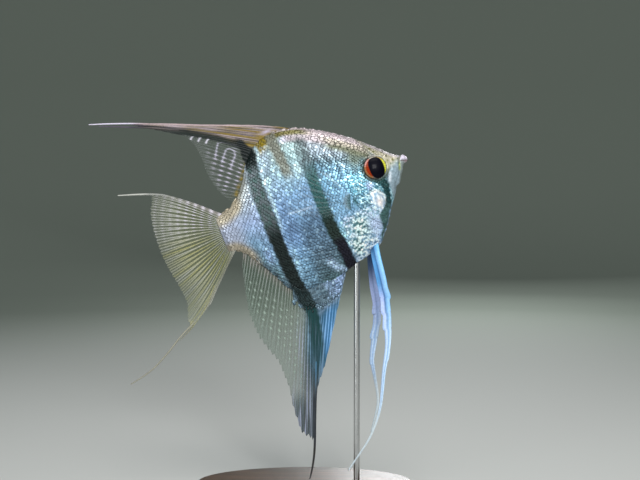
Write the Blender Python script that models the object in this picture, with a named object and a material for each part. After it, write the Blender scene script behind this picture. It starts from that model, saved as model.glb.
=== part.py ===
"""Freshwater angelfish, life size, swimming nose up over a plain display stand.

Metres, +Z up. The fish faces +X and its right side faces -Y. The origin is the centre of the
stand's underside. The fish is drawn in its own frame, in millimetres: x is the distance behind
the snout along the body's axis, z the height above that axis, and y the distance to its left.
The empty "fish" turns and lifts that frame into place over the stand.
"""

import math

import bmesh
import bpy
import numpy as np

MM = 0.001
GAP = 0.3            # clearance between neighbouring solids

# The fish's place over the stand
PITCH = 22.1         # degrees, nose above tail
SNOUT_X, SNOUT_Z = 47.0, 154.4

# Body lines, as (x, value). Back and belly are heights above the axis, half_width is at the widest
# level, and a keel is the power that sharpens a section's edge (1 is an ellipse).
BODY_LENGTH = 92.0
BACK = [(0, 0.5), (0.9, 1.9), (3.0, 3.0), (5.8, 4.9), (11.0, 9.8), (17.6, 16.1), (24.6, 21.7),
        (33.9, 27.9), (44.2, 33.0), (51.5, 34.5), (58.0, 33.9), (63.8, 31.2), (68.1, 27.4),
        (74.2, 19.0), (77.4, 14.9), (82.0, 11.0), (88.5, 8.7), (92.0, 8.2)]
BELLY = [(0, -0.5), (1.2, -0.9), (2.1, -1.3), (2.9, -2.7), (4.0, -4.7), (5.6, -6.8), (7.0, -9.1),
         (9.2, -10.5), (10.8, -13.0), (16.4, -20.3), (21.7, -27.4), (26.8, -32.4), (33.0, -34.8),
         (39.4, -36.2), (46.0, -38.2), (54.7, -40.6), (64.0, -41.2), (69.0, -39.6), (73.0, -34.6),
         (76.4, -27.7), (81.5, -19.0), (85.5, -12.4), (88.5, -10.0), (92.0, -9.4)]
HALF_WIDTH = [(0, 0.9), (1.5, 1.8), (3.0, 2.6), (6.0, 4.0), (11.0, 5.6), (16.0, 6.6), (22.0, 7.5),
              (30.0, 8.1), (38.0, 8.0), (48.0, 7.3), (58.0, 6.2), (68.0, 5.0), (77.0, 3.8),
              (84.0, 3.0), (89.0, 2.2), (92.0, 1.3)]
BACK_KEEL = [(0, 1.0), (15, 1.0), (45, 1.35), (92, 1.3)]
BELLY_KEEL = [(0, 1.0), (20, 1.1), (38, 0.85), (50, 1.2), (70, 1.5), (92, 1.3)]
STATIONS, STATION_POWER = 40, 1.3
AROUND = 22

EYE_AT = (15.2, 1.6)              # x and z of its centre
EYE_OUT = 5.55                    # y of its centre
EYE_FACING = (-0.17, 1.0, 0.08)   # the left eye's way out of the head
EYE_RADIUS, EYE_DOME, EYE_DEPTH = 5.2, 1.9, 3.4   # its rim, the dome outside it, the ball inside it

GILL_CENTRE, GILL_RADIUS = (2.0, -4.0), 27.5     # the arc along the gill covers' rear edges
GILL_PLATE_WIDTH, GILL_PLATE_THICK = 8.0, 1.3
GILL_PLATE_FROM, GILL_PLATE_TO = -38, 24         # degrees above the axis, seen from the arc's centre
STALK_FROM = 80.5                                # where the tail stalk leaves the trunk
GAPE = [(-2.0, 1.5), (0.6, 0.6), (2.6, -0.5), (5.2, -2.9), (9.2, -6.8), (10.6, -9.6), (10.8, -15.0)]

# Median fins. A row is a key ray: root x and z, tip x and z, and bow, how far the ray's middle is
# pushed square to its line, upwards on a ray that runs straight back.
DORSAL_RAYS = [(44.2, 32.6, 45.8, 34.6, 0), (47.6, 33.8, 60.0, 40.8, 0),
               (51.5, 34.2, 81.6, 49.8, 0.2), (55.0, 34.2, 100.0, 57.8, 0.5),
               (57.5, 33.9, 112.0, 62.4, 0.9), (59.0, 33.4, 108.5, 59.6, 0.8),
               (61.0, 32.6, 102.0, 55.4, 0.8), (63.5, 31.2, 96.0, 51.4, 0.8),
               (66.0, 29.4, 91.4, 48.2, 0.8), (69.0, 26.2, 88.8, 43.2, 0.8),
               (72.0, 22.2, 87.8, 36.2, 0.6), (75.0, 17.8, 88.0, 28.0, 0.4),
               (78.0, 14.2, 86.4, 19.6, 0.2), (81.0, 11.6, 83.4, 13.4, 0)]
ANAL_RAYS = [(45.7, -37.8, 46.8, -39.8, 0), (49.0, -38.8, 57.0, -54.4, 0),
             (53.0, -39.8, 71.0, -74.6, 0), (57.0, -40.6, 78.5, -83.8, 0.3),
             (60.0, -40.9, 85.0, -98.0, 0.4), (62.0, -41.0, 88.2, -105.0, 0.4),
             (64.0, -41.0, 89.6, -102.6, 0.3), (66.5, -40.6, 92.4, -98.0, 0),
             (69.0, -39.4, 91.7, -87.0, 0), (71.5, -36.8, 90.0, -76.0, 0),
             (73.5, -33.6, 90.0, -66.0, 0), (76.0, -28.6, 92.4, -57.6, 0),
             (78.5, -24.0, 94.3, -48.6, 0), (81.0, -19.8, 94.3, -40.0, 0),
             (83.5, -15.6, 92.4, -30.4, 0), (86.0, -11.9, 89.0, -17.8, 0)]
TAIL_RAYS = [(88.6, 8.4, 107.8, 25.5, 0.5), (89.8, 7.0, 115.0, 29.2, 1.2),
             (90.5, 5.8, 115.8, 27.0, 1.2), (91.0, 4.2, 119.4, 20.0, 0.7),
             (91.2, 2.4, 121.2, 11.0, 0.3), (91.3, 0.4, 121.8, 1.5, 0),
             (91.2, -2.0, 121.2, -6.5, -0.2), (91.0, -4.0, 119.8, -15.0, -0.5),
             (90.7, -5.6, 119.0, -23.0, -0.9), (90.3, -6.9, 121.4, -31.2, -1.4),
             (89.8, -7.8, 121.0, -33.8, -1.5), (89.4, -8.4, 115.0, -31.4, -0.7),
             (88.6, -9.4, 108.2, -27.8, 0.4)]
# Each one's middle line bulges across the midplane. A wave is the height at the margin, the waves
# along the margin, and where the first one starts, as a share of a turn.
DORSAL_WAVE, ANAL_WAVE, TAIL_WAVE = (2.2, 0.9, 0.35), (3.0, 0.8, 0.10), (3.2, 1.1, 0.60)
# The roots' way into the flesh
DORSAL_SINK, ANAL_SINK, TAIL_SINK = (-1.5, -2.6), (-1.5, 2.6), (-3.0, 0.0)
FIN_ROOT_THICK, FIN_EDGE_THICK = 1.3, 0.6
RAY_CELLS = 6
# Streamers: the number of the key ray each one carries on, and its line as x, z and width
DORSAL_STREAMER = (4, [(103.5, 58.7, 1.6), (112.0, 62.3, 1.6), (121.0, 65.7, 1.2), (129.2, 69.0, 0.7)])
ANAL_STREAMER = (5, [(85.0, -97.0, 1.5), (87.9, -103.9, 1.4), (91.0, -110.6, 1.1), (94.3, -116.2, 0.9),
                     (96.9, -120.0, 0.7)])
TAIL_TOP_STREAMER = (1, [(109.5, 26.4, 1.5), (114.5, 28.8, 1.4), (121.0, 31.2, 1.1),
                         (129.4, 34.2, 0.7)])
TAIL_LOW_STREAMER = (10, [(112.5, -29.6, 1.6), (118.0, -32.6, 1.5), (126.5, -36.4, 1.3),
                          (136.5, -42.0, 1.1), (146.4, -46.3, 0.9), (157.0, -48.6, 0.7)])
STREAMER_THICK = 1.1, 0.6         # at its root and at its tip
STREAMER_STEPS, STREAMER_AROUND = 11, 6

# Pectoral fins. A row is a key ray: root x and z, tip x and z, and the tip's distance outwards.
PECTORAL = [(30.2, -6.0, 37.0, 7.6, 9.6), (30.4, -6.8, 45.0, 13.2, 11.2),
            (30.7, -7.8, 53.0, 13.8, 12.6), (31.0, -8.8, 59.2, 7.4, 13.4),
            (31.4, -9.8, 60.0, -1.6, 13.4), (31.9, -10.8, 52.4, -7.4, 12.2),
            (32.6, -11.8, 41.6, -12.2, 10.0)]
PECTORAL_ROOT_OUT, PECTORAL_SUNK_OUT, PECTORAL_FULL_OUT = 8.5, 6.4, 1.6
PECTORAL_THICK, PECTORAL_RAYS = 0.6, 13

# Pelvic fins: the line each follows (x, z, distance outwards) and its width there
PELVIC_RIGHT = [(28.0, -27.5, 2.4, 4.4), (29.9, -35.5, 3.8, 4.4), (32.0, -47.7, 5.4, 4.8),
                (34.8, -60.0, 6.4, 4.2), (39.6, -74.0, 7.2, 2.8), (46.5, -86.0, 7.6, 1.8),
                (54.6, -101.0, 7.6, 1.3), (62.8, -110.8, 7.0, 1.0), (78.7, -122.4, 5.6, 0.7)]
PELVIC_LEFT = [(29.0, -27.5, 2.4, 4.0), (32.0, -36.0, 3.8, 4.0), (35.6, -48.0, 5.6, 4.2),
               (38.6, -60.0, 6.8, 3.8), (43.6, -70.0, 7.8, 3.2), (50.0, -82.0, 8.6, 2.0),
               (51.8, -90.0, 8.9, 1.5), (54.2, -99.5, 8.6, 1.2), (62.8, -112.3, 7.6, 0.7)]
PELVIC_THICK = [(0, 1.5), (4, 1.0), (8, 0.6)]    # at each numbered point of the lines above
PELVIC_STEPS, PELVIC_AROUND = 25, 8

# The stand: an oval base, and one rod that stands in the base and ends inside the belly
BASE_LENGTH, BASE_WIDTH, BASE_THICK = 100.0, 62.0, 5.0
BASE_SIDES, BASE_CHAMFER = 56, 0.8
ROD_X, ROD_RADIUS, ROD_SIDES = 24.0, 1.4, 24
ROD_FROM, ROD_TO = 2.5, 112.5


def smooth(knots, at):
    """A monotone cubic through (x, value) knots, read at the given places."""
    x, v = np.array(knots, float).T
    step, slope = np.diff(x), np.diff(v) / np.diff(x)
    left, right = slope[:-1], slope[1:]
    same = left * right > 0
    w1, w2 = 2 * step[1:] + step[:-1], step[1:] + 2 * step[:-1]
    mean = (w1 + w2) / (w1 / np.where(same, left, 1) + w2 / np.where(same, right, 1))
    tangent = np.concatenate([[slope[0]], np.where(same, mean, 0), [slope[-1]]])
    at = np.clip(np.asarray(at, float), x[0], x[-1])
    i = np.clip(np.searchsorted(x, at) - 1, 0, len(step) - 1)
    t = (at - x[i]) / step[i]
    return ((2 * t**3 - 3 * t**2 + 1) * v[i] + (t**3 - 2 * t**2 + t) * step[i] * tangent[i]
            + (3 * t**2 - 2 * t**3) * v[i + 1] + (t**3 - t**2) * step[i] * tangent[i + 1])


def along(rows, count):
    """Rows of numbers, read on smooth curves at even steps from the first row to the last."""
    rows = np.array(rows, float)
    index = np.arange(len(rows))
    at = np.linspace(0, len(rows) - 1, count)
    return np.stack([smooth(np.stack([index, column], axis=1), at) for column in rows.T], axis=1)


def finish_for(name, colour, roughness, metallic=0.0):
    """A material with one colour and one gloss."""
    material = bpy.data.materials.new(name)
    material.use_nodes = True
    shader = material.node_tree.nodes["Principled BSDF"]
    shader.inputs["Base Color"].default_value = (*colour, 1)
    shader.inputs["Roughness"].default_value = roughness
    shader.inputs["Metallic"].default_value = metallic
    return material


def solid(name, points, faces, finish=None, fish=None):
    """A mesh object from points in millimetres, in the fish's frame where it is given."""
    points = np.array(points, float) * MM
    if fish is not None:
        points[:, 0] *= -1
        faces = [face[::-1] for face in faces]
    mesh = bpy.data.meshes.new(name)
    mesh.from_pydata(points.tolist(), [], faces)
    obj = bpy.data.objects.new(name, mesh)
    bpy.context.scene.collection.objects.link(obj)
    obj.parent = fish
    if finish is not None:
        mesh.materials.append(finish)
    return obj


def loft_faces(rings, around, first_pole, last_pole):
    """Quads between rings of points that run the same way round, and a fan to each pole."""
    faces = []
    for ring in range(rings - 1):
        for k in range(around):
            a, b = ring * around + k, ring * around + (k + 1) % around
            faces.append([a, b, b + around, a + around])
    last = (rings - 1) * around
    for k in range(around):
        after = (k + 1) % around
        faces.append([first_pole, after, k])
        faces.append([last_pole, last + k, last + after])
    return faces


def body(name, grow, fish):
    """The whole body as rings across its axis, swollen all round by grow."""
    x = BODY_LENGTH * (np.arange(STATIONS) / (STATIONS - 1)) ** STATION_POWER
    back, belly = smooth(BACK, x) + grow, smooth(BELLY, x) - grow
    wide = smooth(HALF_WIDTH, x) + grow
    angle = np.arange(AROUND) * 2 * math.pi / AROUND
    level, out = np.sin(angle), np.cos(angle)
    keel = np.where(level > 0, smooth(BACK_KEEL, x)[:, None], smooth(BELLY_KEEL, x)[:, None])
    z = (back + belly)[:, None] / 2 + (back - belly)[:, None] / 2 * level
    y = wide[:, None] * np.sign(out) * np.abs(out) ** keel
    spread = (x * (1 + 2 * grow / BODY_LENGTH) - grow)[:, None] * np.ones(AROUND)
    ends = [[-grow - 0.4, 0, 0], [BODY_LENGTH + grow + 0.6, 0, (back[-1] + belly[-1]) / 2]]
    points = np.concatenate([np.stack([spread, y, z], axis=2).reshape(-1, 3), ends])
    count = STATIONS * AROUND
    return solid(name, points, loft_faces(STATIONS, AROUND, count, count + 1), fish=fish)


def prism(outline, low, high, fish):
    """A cutter: a side-view outline of (x, z) points, carried across the fish from y low to y high."""
    n = len(outline)
    points = [(x, y, z) for y in (low, high) for x, z in outline]
    turn = sum(a[0] * b[1] - b[0] * a[1] for a, b in zip(outline, outline[1:] + outline[:1]))
    faces = [list(range(n)), list(range(2 * n - 1, n - 1, -1))]
    faces += [[k + n, (k + 1) % n + n, (k + 1) % n, k] for k in range(n)]
    if turn < 0:
        faces = [face[::-1] for face in faces]
    return cutter(solid("cutter", points, faces, fish=fish))


def cutter(obj):
    obj.hide_render = True
    obj.display_type = "WIRE"
    return obj


def gill_arc(radius, start, end, count):
    """Points on an arc about the gill covers' centre. Angles are degrees above the axis."""
    turns = np.radians(np.linspace(start, end, count))
    x, z = GILL_CENTRE
    return [(x + radius * math.cos(turn), z + radius * math.sin(turn)) for turn in turns]


def gill_zone(grow):
    """The side view of a gill cover's plate, swollen by grow."""
    inner = GILL_RADIUS - GILL_PLATE_WIDTH - grow
    more = math.degrees(grow / inner)
    start, end = GILL_PLATE_FROM - more, GILL_PLATE_TO + more
    return gill_arc(GILL_RADIUS + 1.0, start, end, 9) + gill_arc(inner, end, start, 7)


def jaw_zone(grow):
    """The side view of all that lies below the gape and in front of the jaw's joint."""
    line = [(x + grow, z + grow) for x, z in GAPE]
    return line + [(-4.0, line[-1][1]), (-4.0, line[0][1])]


def eyeball(name, side, grow, finish, fish, segments=20, rings=8):
    """A flat dome outside the eye's rim and a deeper ball inside it, swollen by grow."""
    pole = np.array(EYE_FACING) * (side, 1, side)
    pole /= np.linalg.norm(pole)
    back = np.array([1.0, 0, 0]) - pole[0] * pole
    back /= np.linalg.norm(back)
    up = np.cross(back, pole)
    lift = np.pi * np.arange(rings + 1)[:, None, None] / rings
    turn = 2 * np.pi * np.arange(segments)[None, :, None] / segments
    reach = np.where(np.cos(lift) * side > 0, EYE_DOME + grow, EYE_DEPTH + grow)
    across = (back * np.cos(turn) + up * np.sin(turn)) * np.sin(lift) * (EYE_RADIUS + grow)
    balls = np.array([EYE_AT[0], side * EYE_OUT, EYE_AT[1]]) + across + pole * np.cos(lift) * reach
    points = np.concatenate([balls[1:-1].reshape(-1, 3), balls[[0, -1], 0]])
    count = (rings - 1) * segments
    return solid(name, points, loft_faces(rings - 1, segments, count, count + 1), finish, fish)


def triangulate(mesh):
    work = bmesh.new()
    work.from_mesh(mesh)
    bmesh.ops.triangulate(work, faces=work.faces)
    work.to_mesh(mesh)
    work.free()


def carve(obj, tool, operation="DIFFERENCE"):
    """One exact Boolean between flat-faced solids, applied at once."""
    triangulate(obj.data)
    triangulate(tool.data)
    modifier = obj.modifiers.new("carve", "BOOLEAN")
    modifier.operation = operation
    modifier.object = tool
    bpy.context.view_layer.update()
    graph = bpy.context.evaluated_depsgraph_get()
    obj.data = bpy.data.meshes.new_from_object(obj.evaluated_get(graph))
    obj.modifiers.clear()
    triangulate(obj.data)


def discard(*objects):
    for obj in objects:
        bpy.data.objects.remove(obj)


def dress(obj, finish):
    """Gives an object one material and smooth shading with sharp creases."""
    obj.data.materials.clear()
    obj.data.materials.append(finish)
    obj.data.shade_smooth()
    obj.data.set_sharp_from_angle(angle=math.radians(40))


def sheet(name, middle, thick, finish, fish):
    """A closed sheet: a grid of rays x cells points, thickened to both sides of its own surface."""
    rays, cells = middle.shape[0], middle.shape[1] - 1
    normal = np.cross(np.gradient(middle, axis=0), np.gradient(middle, axis=1))
    normal /= np.linalg.norm(normal, axis=2, keepdims=True)
    half = normal * thick[..., None] / 2
    points = np.concatenate([(middle - half).reshape(-1, 3), (middle + half).reshape(-1, 3)])

    def at(side, ray, cell):
        return (side * rays + ray) * (cells + 1) + cell

    faces = []
    for i in range(rays - 1):
        for j in range(cells):
            faces.append([at(0, i, j), at(0, i, j + 1), at(0, i + 1, j + 1), at(0, i + 1, j)])
            faces.append([at(1, i, j), at(1, i + 1, j), at(1, i + 1, j + 1), at(1, i, j + 1)])
    rim = [(i, 0) for i in range(rays)] + [(rays - 1, j) for j in range(1, cells + 1)]
    rim += [(i, cells) for i in range(rays - 2, -1, -1)] + [(0, j) for j in range(cells - 1, 0, -1)]
    for (i, j), (m, n) in zip(rim, rim[1:] + rim[:1]):
        faces.append([at(0, i, j), at(0, m, n), at(1, m, n), at(1, i, j)])
    return solid(name, points, faces, finish, fish)


def sway(wave, place, reach):
    """How far a median fin stands off the midplane at a share of its margin and of its longest ray."""
    height, waves, start = wave
    return height * reach * np.sin(2 * math.pi * (waves * place + start) + 1.5 * reach)


def thread(name, middle, width, thick, around, finish, fish):
    """Oval rings carried along a line, their width upright and their thickness across the fish."""
    way = np.gradient(middle, axis=0)
    way /= np.linalg.norm(way, axis=1, keepdims=True)
    broad = np.cross(way, [0.0, 1.0, 0.0])
    broad /= np.linalg.norm(broad, axis=1, keepdims=True)
    flat = np.cross(broad, way)
    turn = np.linspace(0, 2 * math.pi, around, endpoint=False)[None, :, None]
    rings = (middle[:, None] + broad[:, None] * np.cos(turn) * width[:, None, None] / 2
             - flat[:, None] * np.sin(turn) * thick[:, None, None] / 2)
    ends = [middle[0] - way[0] * 0.3, middle[-1] + way[-1] * 0.3]
    points = np.concatenate([rings.reshape(-1, 3), ends])
    count = len(middle) * around
    return solid(name, points, loft_faces(len(middle), around, count, count + 1), finish, fish)


def median_fin(name, key_rays, sink, wave, streamers, finish, fish, flesh):
    """A fin in the midplane: a fan of rays read from its key rays, joined by its streamers.

    The roots are carried on into the flesh by sink, and then cut to the flesh they grow from.
    """
    rays = np.array(key_rays, float)
    root, tip, bow = rays[:, None, 0:2], rays[:, None, 2:4], rays[:, None, 4:5]
    length = np.linalg.norm(tip - root, axis=2, keepdims=True)
    line = (tip - root) / length
    square = np.stack([-line[..., 1], line[..., 0]], axis=2)
    share = np.linspace(0, 1, RAY_CELLS)[None, :, None]
    flat = root + (tip - root) * share + square * bow * 4 * share * (1 - share)
    flat = np.concatenate([root + np.array(sink), flat], axis=1)
    share = np.concatenate([[[[0]]], share], axis=1)
    out = sway(wave, np.linspace(0, 1, len(rays))[:, None, None], share * length / length.max())
    middle = np.concatenate([flat[..., :1], out, flat[..., 1:]], axis=2)
    thick = FIN_ROOT_THICK + (FIN_EDGE_THICK - FIN_ROOT_THICK) * np.minimum(1, share[..., 0] * 1.6)
    obj = sheet(name, middle, thick * np.ones((len(rays), 1)), finish, fish)
    for number, rows in streamers:
        path = along(rows, STREAMER_STEPS)
        reach = np.linalg.norm(path[:, :2] - root[number], axis=1) / length.max()
        out = sway(wave, number / (len(key_rays) - 1), reach)
        middle = np.stack([path[:, 0], out, path[:, 1]], axis=1)
        thick = np.linspace(*STREAMER_THICK, STREAMER_STEPS)
        streamer = thread("streamer", middle, path[:, 2], thick, STREAMER_AROUND, finish, fish)
        carve(obj, streamer, "UNION")
        discard(streamer)
    carve(obj, flesh)
    return obj


def pectoral_fin(name, side, finish, fish, flesh):
    """A broad fan that leaves the flank behind the gill cover and spreads outwards and back."""
    rays = along(PECTORAL, PECTORAL_RAYS)
    share = np.linspace(0, 1, RAY_CELLS)[None]
    x = rays[:, 0:1] + (rays[:, 2:3] - rays[:, 0:1]) * share
    z = rays[:, 1:2] + (rays[:, 3:4] - rays[:, 1:2]) * share
    out = PECTORAL_ROOT_OUT + (rays[:, 4:5] - PECTORAL_ROOT_OUT) * share
    out = out + PECTORAL_FULL_OUT * 4 * share * (1 - share)
    sunk = np.stack([rays[:, 0] - 0.8, rays[:, 1] * 0 + PECTORAL_SUNK_OUT, rays[:, 1]], axis=1)
    middle = np.concatenate([sunk[:, None], np.stack([x, out, z], axis=2)], axis=1)
    middle[..., 1] *= side
    obj = sheet(name, middle, np.full(middle.shape[:2], PECTORAL_THICK), finish, fish)
    carve(obj, flesh)
    return obj


def pelvic_fin(name, side, rows, finish, fish, flesh):
    """A narrow fin that tapers to a thread."""
    path = along(rows, PELVIC_STEPS)
    middle = np.stack([path[:, 0], side * path[:, 2], path[:, 1]], axis=1)
    thick = smooth(PELVIC_THICK, np.linspace(0, len(rows) - 1, PELVIC_STEPS))
    obj = thread(name, middle, path[:, 3], thick, PELVIC_AROUND, finish, fish)
    carve(obj, flesh)
    return obj


def column(name, outline_at, levels, finish=None):
    """An upright piece of the stand: outline_at(inset) gives its ring, levels are (z, inset)."""
    rings = [[(x, y, z) for x, y in outline_at(inset)] for z, inset in levels]
    n = len(rings[0])
    points = [point for ring in rings for point in ring]
    faces = [list(range(n))[::-1], list(range((len(rings) - 1) * n, len(rings) * n))]
    for ring in range(len(rings) - 1):
        for k in range(n):
            a, b = ring * n + k, ring * n + (k + 1) % n
            faces.append([a, b, b + n, a + n])
    return solid(name, points, faces, finish)


def oval(inset):
    turns = np.linspace(0, 2 * math.pi, BASE_SIDES, endpoint=False)
    long, wide = BASE_LENGTH / 2 - inset, BASE_WIDTH / 2 - inset
    return [(long * math.cos(turn), wide * math.sin(turn)) for turn in turns]


def rod_ring(inset):
    turns = np.linspace(0, 2 * math.pi, ROD_SIDES, endpoint=False)
    radius = ROD_RADIUS - inset
    return [(ROD_X + radius * math.cos(turn), radius * math.sin(turn)) for turn in turns]


def build_flesh(fish):
    """Head, jaw, gill covers, trunk, tail stalk and eyes, parted from one body by thin cuts."""
    silver = finish_for("silver_flank", (0.42, 0.52, 0.60), 0.32, 0.4)
    olive = finish_for("olive_head", (0.40, 0.40, 0.28), 0.38, 0.2)
    turquoise = finish_for("turquoise_gill_cover", (0.38, 0.62, 0.66), 0.28, 0.5)
    pale = finish_for("pale_tail_stalk", (0.55, 0.55, 0.52), 0.38, 0.2)
    red = finish_for("red_eye", (0.55, 0.10, 0.03), 0.10)

    head, trunk, stalk = body("head", 0, fish), body("trunk", 0, fish), body("tail_stalk", 0, fish)
    inside = prism(gill_arc(GILL_RADIUS, 0, 360, 49)[:-1], -20, 20, fish)
    outside = prism(gill_arc(GILL_RADIUS + GAP, 0, 360, 49)[:-1], -20, 20, fish)
    rear = prism([(STALK_FROM, -60), (120, -60), (120, 60), (STALK_FROM, 60)], -20, 20, fish)
    stalk_front = STALK_FROM + GAP
    front = prism([(-9, -60), (stalk_front, -60), (stalk_front, 60), (-9, 60)], -20, 20, fish)
    carve(head, inside, "INTERSECT")
    carve(trunk, outside)
    carve(trunk, rear)
    carve(stalk, front)

    jaw = body("lower_jaw", 0, fish)
    below_gape, clear_of_gape = prism(jaw_zone(0), -20, 20, fish), prism(jaw_zone(GAP), -20, 20, fish)
    carve(jaw, below_gape, "INTERSECT")
    carve(head, clear_of_gape)

    core = cutter(body("core", -GILL_PLATE_THICK, fish))
    core_clear = cutter(body("core_clear", -GILL_PLATE_THICK - GAP, fish))
    covers = []
    for name, side in (("right", -1), ("left", 1)):
        low, high = sorted((0.5 * side, 20 * side))
        cover = body("gill_cover_" + name, 0, fish)
        plate, seat = prism(gill_zone(0), low, high, fish), prism(gill_zone(GAP), low, high, fish)
        carve(cover, plate, "INTERSECT")
        carve(cover, inside, "INTERSECT")
        carve(cover, core)
        carve(seat, core_clear)
        carve(head, seat)
        covers.append(cover)
        discard(plate, seat)
        socket = cutter(eyeball("socket", side, GAP, None, fish))
        carve(head, socket)
        discard(socket)
        dress(eyeball("eye_" + name, side, 0, red, fish), red)
    discard(inside, outside, rear, front, below_gape, clear_of_gape, core, core_clear)

    for obj, finish in ((head, olive), (jaw, olive), (trunk, silver), (stalk, pale)):
        dress(obj, finish)
    for cover in covers:
        dress(cover, turquoise)
    return trunk


def build_fins(fish):
    """The seven fins, each cut 0.3 mm clear of the flesh it grows from."""
    membrane = finish_for("fin_membrane", (0.50, 0.50, 0.42), 0.35)
    anal_tint = finish_for("anal_fin_membrane", (0.36, 0.44, 0.46), 0.35)
    blue = finish_for("pelvic_blue", (0.28, 0.50, 0.72), 0.35)
    flesh = cutter(body("flesh", GAP, fish))
    fins = [
        median_fin("dorsal_fin", DORSAL_RAYS, DORSAL_SINK, DORSAL_WAVE, [DORSAL_STREAMER],
                   membrane, fish, flesh),
        median_fin("anal_fin", ANAL_RAYS, ANAL_SINK, ANAL_WAVE, [ANAL_STREAMER],
                   anal_tint, fish, flesh),
        median_fin("tail_fin", TAIL_RAYS, TAIL_SINK, TAIL_WAVE, [TAIL_TOP_STREAMER, TAIL_LOW_STREAMER],
                   membrane, fish, flesh),
    ]
    for name, side, rows in (("right", -1, PELVIC_RIGHT), ("left", 1, PELVIC_LEFT)):
        fins.append(pelvic_fin("pelvic_fin_" + name, side, rows, blue, fish, flesh))
        fins.append(pectoral_fin("pectoral_fin_" + name, side, membrane, fish, flesh))
    for fin in fins:
        dress(fin, fin.data.materials[0])
    discard(flesh)


def build_stand(trunk):
    """The base and its rod, with the holes that the rod stands and ends in."""
    walnut = finish_for("walnut_base", (0.13, 0.07, 0.04), 0.35)
    steel = finish_for("steel_rod", (0.60, 0.60, 0.60), 0.25, 1.0)
    edge = BASE_THICK - BASE_CHAMFER
    levels = [(0, BASE_CHAMFER), (BASE_CHAMFER, 0), (edge, 0), (BASE_THICK, BASE_CHAMFER)]
    base = column("stand_base", oval, levels, walnut)
    rod = column("stand_rod", rod_ring, [(ROD_FROM, 0), (ROD_TO - 1, 0), (ROD_TO, 0.6)], steel)
    bore = cutter(column("bore", rod_ring, [(ROD_FROM - GAP, -GAP), (ROD_TO + GAP, -GAP)]))
    carve(base, bore)
    carve(trunk, bore)
    discard(bore)
    dress(base, walnut)
    dress(rod, steel)


def build():
    for old in list(bpy.data.objects):
        bpy.data.objects.remove(old)
    fish = bpy.data.objects.new("fish", None)
    bpy.context.scene.collection.objects.link(fish)
    fish.location = (SNOUT_X * MM, 0, SNOUT_Z * MM)
    fish.rotation_euler = (0, -math.radians(PITCH), 0)
    bpy.context.view_layer.update()
    trunk = build_flesh(fish)
    build_fins(fish)
    build_stand(trunk)


build()
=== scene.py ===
"""A life-size freshwater angelfish, swimming nose up over an oval walnut stand.

Each section makes one piece, or a group of like pieces, and opens by saying what the real one is.
The fish is drawn in millimetres in its own frame: x is the distance behind the snout along the
body's axis, y the distance to its left, z the height above the axis. place() carries that frame
into the stand's, which is in metres with +Z up.
"""

import math

import bpy
import numpy as np
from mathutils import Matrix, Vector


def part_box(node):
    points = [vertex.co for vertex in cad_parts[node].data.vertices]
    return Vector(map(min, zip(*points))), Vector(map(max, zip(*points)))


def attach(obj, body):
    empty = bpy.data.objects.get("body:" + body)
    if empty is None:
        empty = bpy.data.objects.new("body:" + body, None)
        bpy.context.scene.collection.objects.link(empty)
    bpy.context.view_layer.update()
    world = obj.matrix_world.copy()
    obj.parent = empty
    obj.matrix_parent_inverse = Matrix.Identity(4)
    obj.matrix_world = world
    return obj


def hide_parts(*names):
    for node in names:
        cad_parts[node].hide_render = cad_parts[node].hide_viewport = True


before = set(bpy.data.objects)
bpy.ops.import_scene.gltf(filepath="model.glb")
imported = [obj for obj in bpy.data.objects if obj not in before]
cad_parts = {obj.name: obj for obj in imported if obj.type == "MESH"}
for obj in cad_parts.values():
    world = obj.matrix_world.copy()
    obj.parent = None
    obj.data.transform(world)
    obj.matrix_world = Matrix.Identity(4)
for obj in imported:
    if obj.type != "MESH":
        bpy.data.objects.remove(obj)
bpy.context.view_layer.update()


# ---- The skin ---------------------------------------------------------------------------------
# One wet hide over the head, jaw, gill covers, trunk and tail stalk, with no seam between them.
# It is drawn as closed rings about the body's axis, and the lips, the rims of the eyes, the cheek
# plates and the edges of the gill covers stand out of it by fractions of a millimetre.

MM = 0.001
PITCH = math.radians(22.1)
base_low, base_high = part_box("stand_base")
SNOUT_X = (base_low.x + base_high.x) / 2 + 47.0 * MM
SNOUT_Z = base_low.z + 154.4 * MM

BODY_LENGTH = 92.0
BACK = [(0, 0.6), (0.2, 1.35), (0.6, 2.15), (1.2, 2.65), (3.0, 3.1), (5.8, 4.9), (11.0, 9.8),
        (17.6, 16.1), (24.6, 21.7), (33.9, 27.9), (44.2, 33.0), (51.5, 34.5), (58.0, 33.9), (63.8, 31.2),
        (68.1, 27.4), (74.2, 19.0), (77.4, 14.9), (82.0, 11.0), (88.5, 8.7), (92.0, 8.2)]
BELLY = [(0, -0.9), (0.5, -1.4), (1.2, -1.6), (2.1, -1.75), (2.9, -2.8), (4.0, -4.7), (5.6, -6.8),
         (7.0, -9.1), (9.2, -10.5), (10.8, -13.0), (16.4, -20.3), (21.7, -27.4), (26.8, -32.4),
         (33.0, -34.8), (39.4, -36.2), (46.0, -38.2), (54.7, -40.6), (64.0, -41.2), (69.0, -39.6),
         (73.0, -34.6), (76.4, -27.7), (81.5, -19.0), (85.5, -12.4), (88.5, -10.0), (92.0, -9.4)]
HALF_WIDTH = [(0, 0.9), (1.5, 1.8), (3.0, 2.6), (6.0, 4.0), (11.0, 5.6), (16.0, 6.6), (22.0, 7.5),
              (30.0, 8.1), (38.0, 8.0), (48.0, 7.3), (58.0, 6.2), (68.0, 5.0), (77.0, 3.8),
              (84.0, 3.0), (89.0, 2.2), (92.0, 1.3)]
BACK_KEEL = [(0, 1.0), (15, 1.0), (45, 1.35), (92, 1.3)]
BELLY_KEEL = [(0, 1.0), (20, 1.1), (38, 0.85), (50, 1.2), (70, 1.5), (92, 1.3)]
SKIN_DEPTH = 0.38              # how far the skin lies inside the solid body
SKIN_RINGS, SKIN_AROUND = 330, 240
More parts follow.
